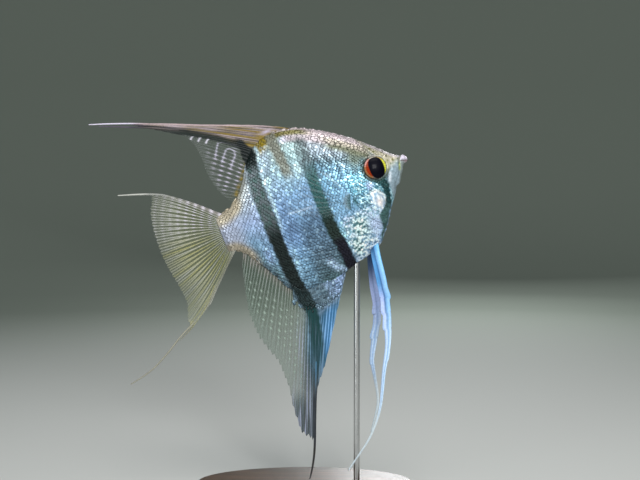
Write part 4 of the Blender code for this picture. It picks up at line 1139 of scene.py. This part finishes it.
def anal_tint(x, z, number, share, distance, ridge):
    """A clear grey-green rear web with pale rays, crossed by rows of faint dots; then the blue
    front half, a dark stripe that carries the rear bar on, and the dark streaked tip."""
    at_ray = np.round(number)
    dots = beads(distance + 1.6 * (np.round(number / 2) % 2), 3.2, 0.42, 4.0) * (at_ray % 2 == 0)
    dots = dots * np.exp(-((number - at_ray) / 0.42) ** 2) * ramp(distance, 7, 11) * ramp(share, 0.86, 0.66)
    colour = blend((0.05, 0.085, 0.055), (0.25, 0.32, 0.28), ridge * 0.8)
    web = blend(colour, (0.44, 0.54, 0.47), dots * 0.9), 0.26 + 0.14 * ridge + 0.45 * dots
    uneven = 0.7 + 0.3 * ripple(number * 0.9, distance * 0.3, 64, 2.4)
    near = ramp(distance, 18, 5)
    web = paint(web, (0.36, 0.38, 0.37), near * ridge * uneven * 0.75, near * (0.36 + 0.42 * ridge * uneven))
    hem = ramp(distance, 6.0, 1.0) * ramp(number, 21, 24) * uneven
    web = paint(web, blend((0.16, 0.15, 0.13), (0.44, 0.38, 0.37), ridge), hem * 0.9, hem * 0.92)
    front = ramp(number, 21.5, 13.5)
    web = paint(web, anal_front(x, z, number, distance, ridge), front,
                front * (0.94 - 0.35 * ramp(distance, 26, 52) * (1 - ridge)))
    stripe = across_bar(x, z, REAR_BAR, 3.0, 2.2) * ramp(z, -92, -58)
    steel = ramp(ripple(number * 1.5, distance * 0.05, 65, 2.0), -0.1, 0.7) * ridge * ramp(distance, 12, 20)
    murk = coats(
        (0.006, 0.018, 0.018),
        ((0.014, 0.085, 0.092), ramp(distance, 4, 10) * (0.25 + 0.75 * ridge)),
        ((0.15, 0.23, 0.32), steel * 0.7))
    web = paint(web, murk, stripe, stripe * 0.96)
    low = ramp(z, -70, -92)
    drawn = ramp(ripple(number * 1.2, distance * 0.07, 61, 2.6), -0.35, 0.65)
    low_tone = blend((0.016, 0.024, 0.024), (0.26, 0.3, 0.36), ridge * (0.35 + 0.65 * drawn))
    web = paint(web, low_tone, low * 0.85, low * (0.66 + 0.3 * ridge))
    lilac = hump(number, 17.6, 3.4) * ramp(distance, 10, 20) * drawn * ridge
    web = paint(web, (0.42, 0.44, 0.62), lilac * 0.75, lilac * 0.85)
    front_line = ramp(number, 14.2, 13.6) * ramp(z, -78, -88)
    web = paint(web, (0.012, 0.012, 0.014), front_line * 0.8, front_line * 0.9)
    tip = ramp(z, -104, -108)
    return joined(paint(web, (0.03, 0.028, 0.026), tip * 0.9, tip))


def tail_tint(x, z, number, share, distance, ridge):
    """A clear straw-coloured web with fine pale rays, upright rows of lilac spots over the upper
    half, a pale beaded upper edge, and dull gold threads."""
    gilt = 0.5 + 0.5 * ripple(number * 1.1, distance * 0.05, 52, 2.0)
    rays = blend((0.64, 0.64, 0.59), (0.56, 0.52, 0.17), gilt * ramp(z, 10, -2))
    upper = np.maximum(ramp(z, 2, 13), ramp(number, 12, 8) * ramp(distance, 18, 11))
    spots = beads(distance, 3.6, 0.8, 1.8) * (0.2 * ramp(z, -8, 0) + 0.8 * upper)
    spots = spots * ramp(ridge, 0.0, 0.9) * (1 - 0.65 * ramp(distance, 9, 26))
    clear = (0.23 + 0.32 * ridge) * (1 - 0.6 * ramp(share, 0.6, 1.0)) * (0.72 + 0.28 * ramp(z, -20, -10))
    web = (coats((0.17, 0.185, 0.085), (rays, ridge * 0.85), ((0.68, 0.62, 0.78), spots * 0.85)),
           clear + 0.52 * spots)
    root = ramp(distance, 7, 2)
    web = paint(web, (0.54, 0.55, 0.62), root * ridge, root * (0.55 + 0.4 * ridge))
    top = ramp(number, 2.6, 0.5) * ramp(share, 1.3, 0.1)
    edge_beads = beads(distance, 3.6, 0.95, 1.8)
    web = paint(web, blend((0.3, 0.27, 0.25), (0.76, 0.7, 0.8), edge_beads), top * 0.9,
                top * (0.4 + 0.5 * edge_beads))
    lower = ramp(number, 28.5, 30.5)
    web = paint(web, (0.42, 0.4, 0.36), lower * 0.6, lower * (0.1 + 0.55 * ridge))
    low_thread = ramp(x, 116, 124) * ramp(z, -30, -33)
    web = paint(web, (0.3, 0.285, 0.23), low_thread * 0.9, low_thread)
    top_thread = ramp(x, 114, 119) * ramp(z, 26, 28)
    return joined(paint(web, (0.5, 0.5, 0.46), top_thread, top_thread))


fin_web = fin_finish("fin_web_and_rays", 0.38)
build_fin("dorsal_fin_rays", "dorsal_fin", DORSAL, DORSAL_THREADS, dorsal_tint, fin_web,
          split_from=0.55, ray_width=0.15)
build_fin("anal_fin_rays", "anal_fin", ANAL, ANAL_THREADS, anal_tint, fin_web,
          split_from=0.6, ray_width=0.15, rows=104)
build_fin("tail_fin_rays", "tail_fin", TAIL, TAIL_THREADS, tail_tint, fin_web,
          split_from=0.25, ray_width=0.14, cells=12)


# ---- The scales over the anal fin's root ------------------------------------------------------
# Fine scales run on from the belly over the fin's fleshy root, as far back as the dark bar. They
# hide where the fin leaves the body, and grow smaller down the rays.

SHEATH_STEP, SHEATH_RISE = 1.02, 0.8
SHEATH_REACH = [(46, 1.5), (49, 4.5), (54, 8.5), (62, 9.5), (67, 8.0), (70, 5.0), (72, -1.0), (88, -3.0)]
SHEATH_HALF = [(-2.2, 1.5), (-0.8, 0.98), (0.6, 0.62), (2.0, 0.44), (10.0, 0.34)]    # drop, and y there


def sheath_tone(x, z):
    """Blue-grey, paler in front, with dark waves and bright dashes, and the rear bar carried on
    behind it."""
    drop = smooth(BELLY, x) - z
    waves = ripple(x * 0.3, drop * 1.5 + x * 0.12, 71, 2.0)
    short_lines = ramp(ripple(x * 1.5, drop * 0.45, 72, 2.2), 0.3, 0.75) * ramp(x, 60, 52)
    return coats(
        (0.22, 0.32, 0.52),
        ((0.12, 0.185, 0.235), ramp(x - 0.3 * (z + 38), 51, 60)),
        ((0.05, 0.09, 0.125), ramp(waves, 0.05, 0.55) * 0.75),
        ((0.42, 0.56, 0.86), short_lines * 0.75),
        ((0.01, 0.022, 0.022), across_bar(x, z, REAR_BAR, 3.1, 1.2) * 0.95))


def lay_sheath(name, side, finish, seed):
    """Brick rows along the belly line: each root lies on the line's own normal, at its drop."""
    draw = np.random.default_rng(seed)
    fine_x = np.linspace(46.2, 88, 900)
    fine_z = smooth(BELLY, fine_x)
    far = np.concatenate([[0], np.cumsum(np.hypot(np.diff(fine_x), np.diff(fine_z)))])
    column, row = np.meshgrid(np.arange(int(far[-1] / SHEATH_STEP)), np.arange(-2, 12))
    along_line = ((column + 0.5 * (row % 2)) * SHEATH_STEP).ravel() + draw.normal(0, 0.06, column.size)
    drop = (row * SHEATH_RISE).ravel() + draw.normal(0, 0.05, column.size)
    line_x, line_z = np.interp(along_line, far, fine_x), np.interp(along_line, far, fine_z)
    slope = np.interp(line_x, fine_x, np.gradient(fine_z, fine_x))
    x = line_x + drop * slope / np.hypot(slope, 1)
    z = line_z - drop / np.hypot(slope, 1)
    keep = (drop < np.interp(line_x, *np.array(SHEATH_REACH).T) * draw.uniform(0.55, 1.0, x.size))
    keep &= x > 46.8 + (-37.8 - z) * 0.66                                # behind the fin's front edge
    x, z, drop = x[keep], z[keep], drop[keep]
    web_x, web_y, web_z = fan(ANAL, WEB_CELLS, WEB_ROWS)[0].reshape(-1, 3).T
    nearest = np.argmin((web_x - x[:, None]) ** 2 + (web_z - z[:, None]) ** 2, axis=1)
    y = smooth(SHEATH_HALF, drop) + side * web_y[nearest] * ramp(drop, -1, 2)
    lean = 0.45 * ramp(drop, 2.5, -0.5)
    normal = np.stack([0 * x, np.cos(lean), -np.sin(lean)], axis=1)
    swing = 0.62 + draw.normal(0, 0.1, len(x))
    aft = square_to(normal, np.stack([np.cos(swing), 0 * x, -np.sin(swing)], axis=1))
    shape, lit, _ = scale_shape()
    shape_aft, shape_up, shape_out = shape.T[:, None]
    size = SHEATH_STEP * (1 - 0.45 * ramp(drop, 2, 9))[:, None]
    out = 0.7 * shape_out + 0.1 * shape_aft + 0 * size
    points = scale_points(np.stack([x, y, z], axis=1), aft, normal, SCALE_SPREAD * shape_aft * size,
                          1.35 * shape_up * size, out)
    # Painted light on each sheath scale: a glint of random strength on its middle, and painted shade on its
    # rim.
    flash = draw.beta(0.9, 1.5, len(x))[:, None]
    light = 1 + lit * (1.2 * flash - 0.28) - (1 - lit) * 0.25
    colour = shaded(sheath_tone(points[..., 0], points[..., 2]), light)
    v = 0.75 + side * (0.002 + 0.002 * np.maximum(drop, 0))
    piece = scale_piece(name, side, finish, points, colour, x, v)
    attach(piece, "root")


lay_sheath("sheath_scales_right", -1, silvered, seed=23)
lay_sheath("sheath_scales_left", 1, silvered, seed=24)


# ---- The pectoral fins ------------------------------------------------------------------------
# The paddles behind the gill covers, spread beside the flank. Their web is so clear that only the
# fine rays and the bright front edge show against the scales.

# Key rays, as x and z of the root, x and z of the tip, and the tip's distance from the midplane
PECTORAL = [(30.2, -6.0, 37.0, 7.6, 9.6), (30.4, -6.8, 45.0, 13.2, 11.2), (30.7, -7.8, 53.0, 13.8, 12.6),
            (31.0, -8.8, 59.2, 7.4, 13.4), (31.4, -9.8, 60.0, -1.6, 13.4), (31.9, -10.8, 52.4, -7.4, 12.2),
            (32.6, -11.8, 41.6, -12.2, 10.0)]
PECTORAL_ROOT_OUT = 8.5                              # the root's distance from the midplane
PECTORAL_SUNK, PECTORAL_BELLY = 1.6, 1.6             # how deep the root is sunk, how far the web bellies
PECTORAL_RAYS, PECTORAL_CELLS, PECTORAL_ROWS = 12, 10, 44


def pectoral_tint(number, share, ridge):
    """Almost clear, with a bright front edge and blue-green ray roots."""
    front = ramp(number, 1.2, 0.2)
    root = ramp(share, 0.16, 0.03)
    clear = 0.012 + 0.045 * ridge * (0.4 + 0.6 * ramp(share, 1.0, 0.4)) + 0.09 * front
    web = coats((0.36, 0.44, 0.48), ((0.62, 0.7, 0.74), ridge), ((0.72, 0.82, 0.84), front)), clear
    return joined(paint(web, blend((0.04, 0.12, 0.12), (0.3, 0.5, 0.58), ridge), root, root * 0.55))


def build_pectoral(side_name, side, finish):
    """A fan of straight rays that bellies out by 4 s (1 - s) between root and margin."""
    number = np.linspace(0, PECTORAL_RAYS, PECTORAL_RAYS * PECTORAL_CELLS + 1)[:, None]
    key = along(PECTORAL, number / PECTORAL_RAYS * (len(PECTORAL) - 1))
    share = np.linspace(0, 1, PECTORAL_ROWS) * (1 - 0.03 * np.abs(number - np.round(number)) * 2)
    number = number + 0 * share
    flat = key[..., 0:2] + (key[..., 2:4] - key[..., 0:2]) * share[..., None]
    out = (PECTORAL_ROOT_OUT - PECTORAL_SUNK * ramp(share, 0.06, 0)
           + (key[..., 4] - PECTORAL_ROOT_OUT) * share + PECTORAL_BELLY * 4 * share * (1 - share))
    ridge = ray_ridge(number, share, 0.45, 0.16)
    middle = np.stack([flat[..., 0], side * out, flat[..., 1]], axis=2)
    points = sheet_points(middle, 0.1 + 0.26 * ridge * (1 - 0.6 * share))
    faces = sheet_faces(*middle.shape[:2])
    if side < 0:
        faces = [faces[0][:, ::-1]]
        points = np.concatenate([points[len(points) // 2:], points[:len(points) // 2]])
    tint = pectoral_tint(number, share, ridge).reshape(-1, 4)
    fin = make_piece("pectoral_fin_" + side_name + "_rays", place(points), faces, finish,
                     np.concatenate([tint, tint]), sheet_map(number / PECTORAL_RAYS, share))
    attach(fin, "root")
    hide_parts("pectoral_fin_" + side_name)


clear_web = fin_finish("pectoral_web", 0.3)
for side_name, side in (("right", -1), ("left", 1)):
    build_pectoral(side_name, side, clear_web)


# ---- The pelvic fins --------------------------------------------------------------------------
# Two long feelers under the breast: a spine and a few rays bound in one ribbon, blue at the root
# and blue-white below, that narrows to a single thread with small spurs where rays end.

# Each one's line, as x, z, distance from the midplane, and width
PELVIC = {"right": [(28.0, -27.5, 1.0, 4.2), (29.9, -35.5, 3.6, 4.4), (32.0, -47.7, 5.4, 4.8),
                    (34.8, -60.0, 6.4, 4.2), (39.6, -74.0, 7.2, 2.8), (46.5, -86.0, 7.6, 1.8),
                    (54.6, -101.0, 7.6, 1.3), (62.8, -110.8, 7.0, 1.0), (78.7, -122.4, 5.6, 0.7)],
          "left": [(29.0, -27.5, 1.0, 4.0), (32.0, -36.0, 3.6, 4.0), (35.6, -48.0, 5.6, 4.2),
                   (38.6, -60.0, 6.8, 3.8), (43.6, -70.0, 7.8, 3.2), (50.0, -82.0, 8.6, 2.0),
                   (51.8, -90.0, 8.9, 1.5), (54.2, -99.5, 8.6, 1.2), (62.8, -112.3, 7.6, 0.7)]}
PELVIC_THICK = [(0, 1.5), (4, 1.0), (8, 0.6)]
PELVIC_ROWS, PELVIC_AROUND, PELVIC_RIDGES = 260, 36, 5
# which edge a ray ends on (-1 front, 1 rear), its place counted in the rows above, and its barb
PELVIC_SPURS = {"right": [(-1, 2.6, 0.7), (1, 3.1, 0.55), (1, 3.58, 0.75), (-1, 4.6, 0.3)],
                "left": [(1, 3.12, 0.7), (1, 4.15, 0.9), (-1, 3.6, 0.4), (1, 5.1, 0.3)]}


def pelvic_tint(share, turn, far):
    """Sky blue along the front edge and, at the root, painted shade behind, with one deep blue line between,
    and blue-white from the middle down, crossed by painted highlight streaks. The far feeler's root is
    painted in shade, and it pales higher up."""
    across = np.cos(turn)                       # -1 at the front edge, 1 at the rear one
    # Painted highlight streaks run round the feeler's ribs.
    highlight_streak = 0.5 + 0.5 * np.cos(turn * 5 + 1.3)
    # The far feeler: painted shade darkens its root on both edges.
    if far:
        front = blend((0.055, 0.1, 0.2), (0.48, 0.58, 0.92), ramp(share, 0.14, 0.28) * 0.95)
        behind = blend((0.055, 0.1, 0.2), (0.48, 0.57, 0.92), ramp(share, 0.16, 0.3))
    else:
        front = coats(
            (0.07, 0.3, 0.6),
            ((0.22, 0.54, 0.86), highlight_streak),
            ((0.48, 0.58, 0.92), ramp(share, 0.14, 0.28) * 0.25))
        # Painted shade: the near feeler's rear edge is dark at the root.
        behind = coats(
            (0.014, 0.035, 0.075),
            ((0.075, 0.28, 0.6), ramp(share, 0.05, 0.17)),
            ((0.48, 0.57, 0.92), ramp(share, 0.24, 0.36)))
    line = hump(across, 0.34 - 0.6 * share, 0.16) * ramp(share, 0.5, 0.34)
    return coats(
        behind,
        (front, ramp(across, 0.45, -0.05)),
        ((0.012, 0.07, 0.23), line * (0.35 if far else 0.85)),
        (blend((0.3, 0.48, 0.76), (0.66, 0.82, 0.98), highlight_streak), ramp(share, 0.32, 0.52) * 0.85),
        ((0.6, 0.66, 0.66), ramp(share, 0.66, 0.84) * 0.8))


def spurs_on(side_name, edge, at):
    """How far the barbs of one edge stand out at each place: a slow rise, and a sudden end."""
    return sum(high * ramp(at, end - 0.4, end) * ramp(at, end + 0.06, end)
               for at_edge, end, high in PELVIC_SPURS[side_name] if at_edge == edge)


def build_pelvic(side_name, side, finish):
    """A ribbed oval ribbon along its line, widened by the barbs towards their own edge."""
    at = np.linspace(0, len(PELVIC[side_name]) - 1, PELVIC_ROWS)
    x, z, out, width = along(PELVIC[side_name], at).T
    front_spurs, rear_spurs = spurs_on(side_name, -1, at), spurs_on(side_name, 1, at)
    middle = np.stack([x + (rear_spurs - front_spurs) / 2, side * out, z], axis=1)
    width = width * 0.94 + rear_spurs + front_spurs
    points = thread_points(middle, np.maximum(width, 0.45), smooth(PELVIC_THICK, at) * 0.9,
                           PELVIC_AROUND, PELVIC_RIDGES)
    share = np.append(np.repeat(at / at[-1], PELVIC_AROUND), [0, 1])
    turn = np.append(np.tile(2 * math.pi * np.arange(PELVIC_AROUND) / PELVIC_AROUND, PELVIC_ROWS), [0, 0])
    unwrap = np.stack([0.03 + 0.3 * turn / FULL_TURN, 0.02 + 0.95 * share], axis=1)
    fin = make_piece("pelvic_fin_" + side_name + "_feeler", place(points),
                     tube_faces(PELVIC_ROWS, PELVIC_AROUND), finish,
                     pelvic_tint(share, turn, far=side > 0), unwrap)
    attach(fin, "root")
    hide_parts("pelvic_fin_" + side_name)


feeler = fin_finish("pelvic_feeler", 0.3)
for side_name, side in (("right", -1), ("left", 1)):
    build_pelvic(side_name, side, feeler)


# ---- The stand's base -------------------------------------------------------------------------
# An oval slab of oiled walnut, turned over at its edges, with its grain running lengthwise.

OVAL_AROUND = 160
EDGE_PROFILE = [(0.0, 1.0), (0.0, 0.8), (0.1, 0.4), (0.4, 0.1), (0.8, 0.0), (2.5, 0.0), (4.2, 0.0),
                (4.6, 0.1), (4.9, 0.4), (5.0, 0.8), (5.0, 1.0), (5.0, 6.0)]     # height, inset


def graded(node, value, *stops):
    """Colours read off a ramp of (place, colour) stops. The first and last are its ends."""
    colour = node("ValToRGB", Fac=value)["Color"]
    elements = colour.node.color_ramp.elements
    elements[0].position, elements[0].color = stops[0]
    elements[1].position, elements[1].color = stops[-1]
    for at, shade in stops[1:-1]:
        elements.new(at).color = shade
    return colour


def walnut_finish():
    """Dark brown wood: long streaks from stretched noise, fine pores, and a soft oil gloss."""
    material, node = new_material("oiled_walnut")
    lengthwise = node("Mapping", Vector=node("TexCoord")["Object"], Scale=(0.1, 1.0, 1.0))["Vector"]
    rings = noise(node, 220.0, 5.0, 0.55, where=lengthwise, Distortion=0.6)
    pores = noise(node, 1600.0, 3.0, 0.7, where=lengthwise)
    brown = graded(node, rings, (0.3, (0.03, 0.014, 0.007, 1)), (0.52, (0.085, 0.04, 0.019, 1)),
                   (0.72, (0.165, 0.08, 0.038, 1)))
    dark_pores = spread(node, pores, 0.55, 1.1, From_Min=0.35, From_Max=0.62)
    node("Shader", Base_Color=times(node, brown, dark_pores),
         Roughness=spread(node, pores, 0.3, 0.5), Normal=bump(node, pores, 0.25, 0.00015),
         Coat_Weight=0.15, Coat_Roughness=0.25)
    return material


def lathe(profile, around, half_long, half_wide):
    """Oval rings at each height of a profile of (height, inset)."""
    turn = np.linspace(0, 2 * math.pi, around, endpoint=False)
    height, inset = (column[:, None] for column in np.array(profile).T)
    rings = [(half_long - inset) * np.cos(turn), (half_wide - inset) * np.sin(turn), height + 0 * turn]
    return np.stack(rings, axis=-1).reshape(-1, 3)


half_long, half_wide = (base_high.x - base_low.x) / 2 / MM, (base_high.y - base_low.y) / 2 / MM
base_middle = np.array([(base_high.x + base_low.x) / 2, (base_high.y + base_low.y) / 2, base_low.z])
slab = np.concatenate([lathe(EDGE_PROFILE, OVAL_AROUND, half_long, half_wide),
                       [[0, 0, 0], [0, 0, EDGE_PROFILE[-1][0]]]]) * MM + base_middle
oval_faces = [part[:, ::-1] for part in tube_faces(len(EDGE_PROFILE), OVAL_AROUND)]
walnut = make_piece("walnut_base", slab, oval_faces, walnut_finish())
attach(walnut, "root")
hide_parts("stand_base")


# ---- The stand's rod --------------------------------------------------------------------------
# A straight steel rod, drawn to size and left with its fine lengthwise marks. It stands in the
# base and ends inside the belly.

def steel_finish():
    """Bare steel with fine lengthwise marks, from noise stretched along the rod."""
    material, node = new_material("drawn_steel")
    lengthwise = node("Mapping", Vector=node("TexCoord")["Object"], Scale=(1.0, 1.0, 0.02))["Vector"]
    marks = noise(node, 4000.0, 3.0, where=lengthwise)
    node("Shader", Base_Color=spread(node, marks, 0.42, 0.68), Roughness=spread(node, marks, 0.18, 0.38),
         Normal=bump(node, marks, 0.2, 0.00005), Metallic=1.0)
    return material


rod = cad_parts["stand_rod"]
rod.data.materials.clear()
rod.data.materials.append(steel_finish())
rod.data.shade_smooth()


# ---- The floor and the backdrop ---------------------------------------------------------------
# A round pale sheet of paper that the stand rests on, curved up into a wall well away from it.

# Height, and how far inside a circle of one metre, which is negative outside it
PAPER_PROFILE = [(0.0, 0.85), (0.0, 0.65), (0.0, 0.4), (0.0, 0.1), (0.01, 0.0), (0.045, -0.1),
                 (0.1, -0.17), (0.17, -0.21), (0.28, -0.23), (0.75, -0.23)]
PAPER_AROUND = 96
WARM_WHITE, SAGE = (0.58, 0.59, 0.57, 1), (0.21, 0.24, 0.205, 1)


def paper_finish():
    """Matt paper, pale in the middle and shading off to sage grey, with a faint fibre."""
    material, node = new_material("graded_paper")
    flat = node("VectorMath", operation="MULTIPLY", Vector=node("TexCoord")["Object"])["Vector"]
    flat.node.inputs[1].default_value = (1, 1, 0)
    away_from_middle = node("VectorMath", operation="LENGTH", Vector=flat)["Value"]
    paper_tone = graded(node, away_from_middle, (0.12, WARM_WHITE), (0.95, SAGE))
    paper_tone.node.color_ramp.interpolation = "EASE"
    fibre = noise(node, 300.0, 3.0)
    node("Shader", Base_Color=paper_tone, Normal=bump(node, fibre, 0.05, 0.0002), Roughness=0.9)
    return material


paper = np.concatenate([lathe(PAPER_PROFILE, PAPER_AROUND, 1.0, 1.0), [[0, 0, 0]]]) + (0, 0, base_low.z)
paper_faces = [ring_quads(len(PAPER_PROFILE), PAPER_AROUND), pole_fan(0, PAPER_AROUND, len(paper) - 1)]
floor = make_piece("floor", paper, paper_faces, paper_finish())


# ---- The camera and the lights ----------------------------------------------------------------
# The camera stands level with the fish on its right side and looks down on it very slightly. A
# broad soft light hangs over it, a smaller one beside the camera wakes the scales, and a low one
# fills the belly. The last one lights its far side.

CAMERA_AIM = np.array([SNOUT_X - 40.0 * MM, 0.0, SNOUT_Z - 37.5 * MM])
CAMERA_AWAY, CAMERA_DOWN = 0.6, math.radians(2.5)
camera_data = bpy.data.cameras.new("camera")
camera_data.lens, camera_data.sensor_width = 73.4, 36.0
camera = bpy.data.objects.new("camera", camera_data)
camera.location = CAMERA_AIM + (0, -CAMERA_AWAY * math.cos(CAMERA_DOWN), CAMERA_AWAY * math.sin(CAMERA_DOWN))
camera.rotation_euler = (math.pi / 2 - CAMERA_DOWN, 0, 0)
bpy.context.scene.collection.objects.link(camera)
bpy.context.scene.camera = camera


def soft_light(name, at, size, power, colour):
    """A square light panel that faces the fish."""
    data = bpy.data.lights.new(name, "AREA")
    data.shape, data.size, data.energy, data.color = "SQUARE", size, power, colour
    lamp = bpy.data.objects.new(name, data)
    lamp.location = at
    aim = CAMERA_AIM - np.array(at)
    level = math.hypot(aim[0], aim[1])
    lamp.rotation_euler = (math.atan2(level, -aim[2]), 0, math.atan2(-aim[0], aim[1]))
    lamp.visible_camera = False
    bpy.context.scene.collection.objects.link(lamp)


soft_light("overhead", (0.08, -0.34, 0.75), 0.4, 2.9, (1.0, 0.98, 0.95))
soft_light("beside_camera", (0.2, -0.8, 0.42), 0.22, 4.3, (0.97, 0.99, 1.0))
soft_light("low_fill", (-0.62, -0.76, 0.22), 0.35, 2.6, (0.92, 0.97, 1.0))
soft_light("far_side", (0.18, 0.95, 0.34), 0.3, 2.4, (0.97, 0.99, 1.0))
world = bpy.data.worlds.new("studio")
world.use_nodes = True
world.node_tree.nodes["Background"].inputs["Color"].default_value = (0.8, 0.86, 0.9, 1)
world.node_tree.nodes["Background"].inputs["Strength"].default_value = 0.3
bpy.context.scene.world = world
bpy.context.scene.view_settings.view_transform = "Standard"
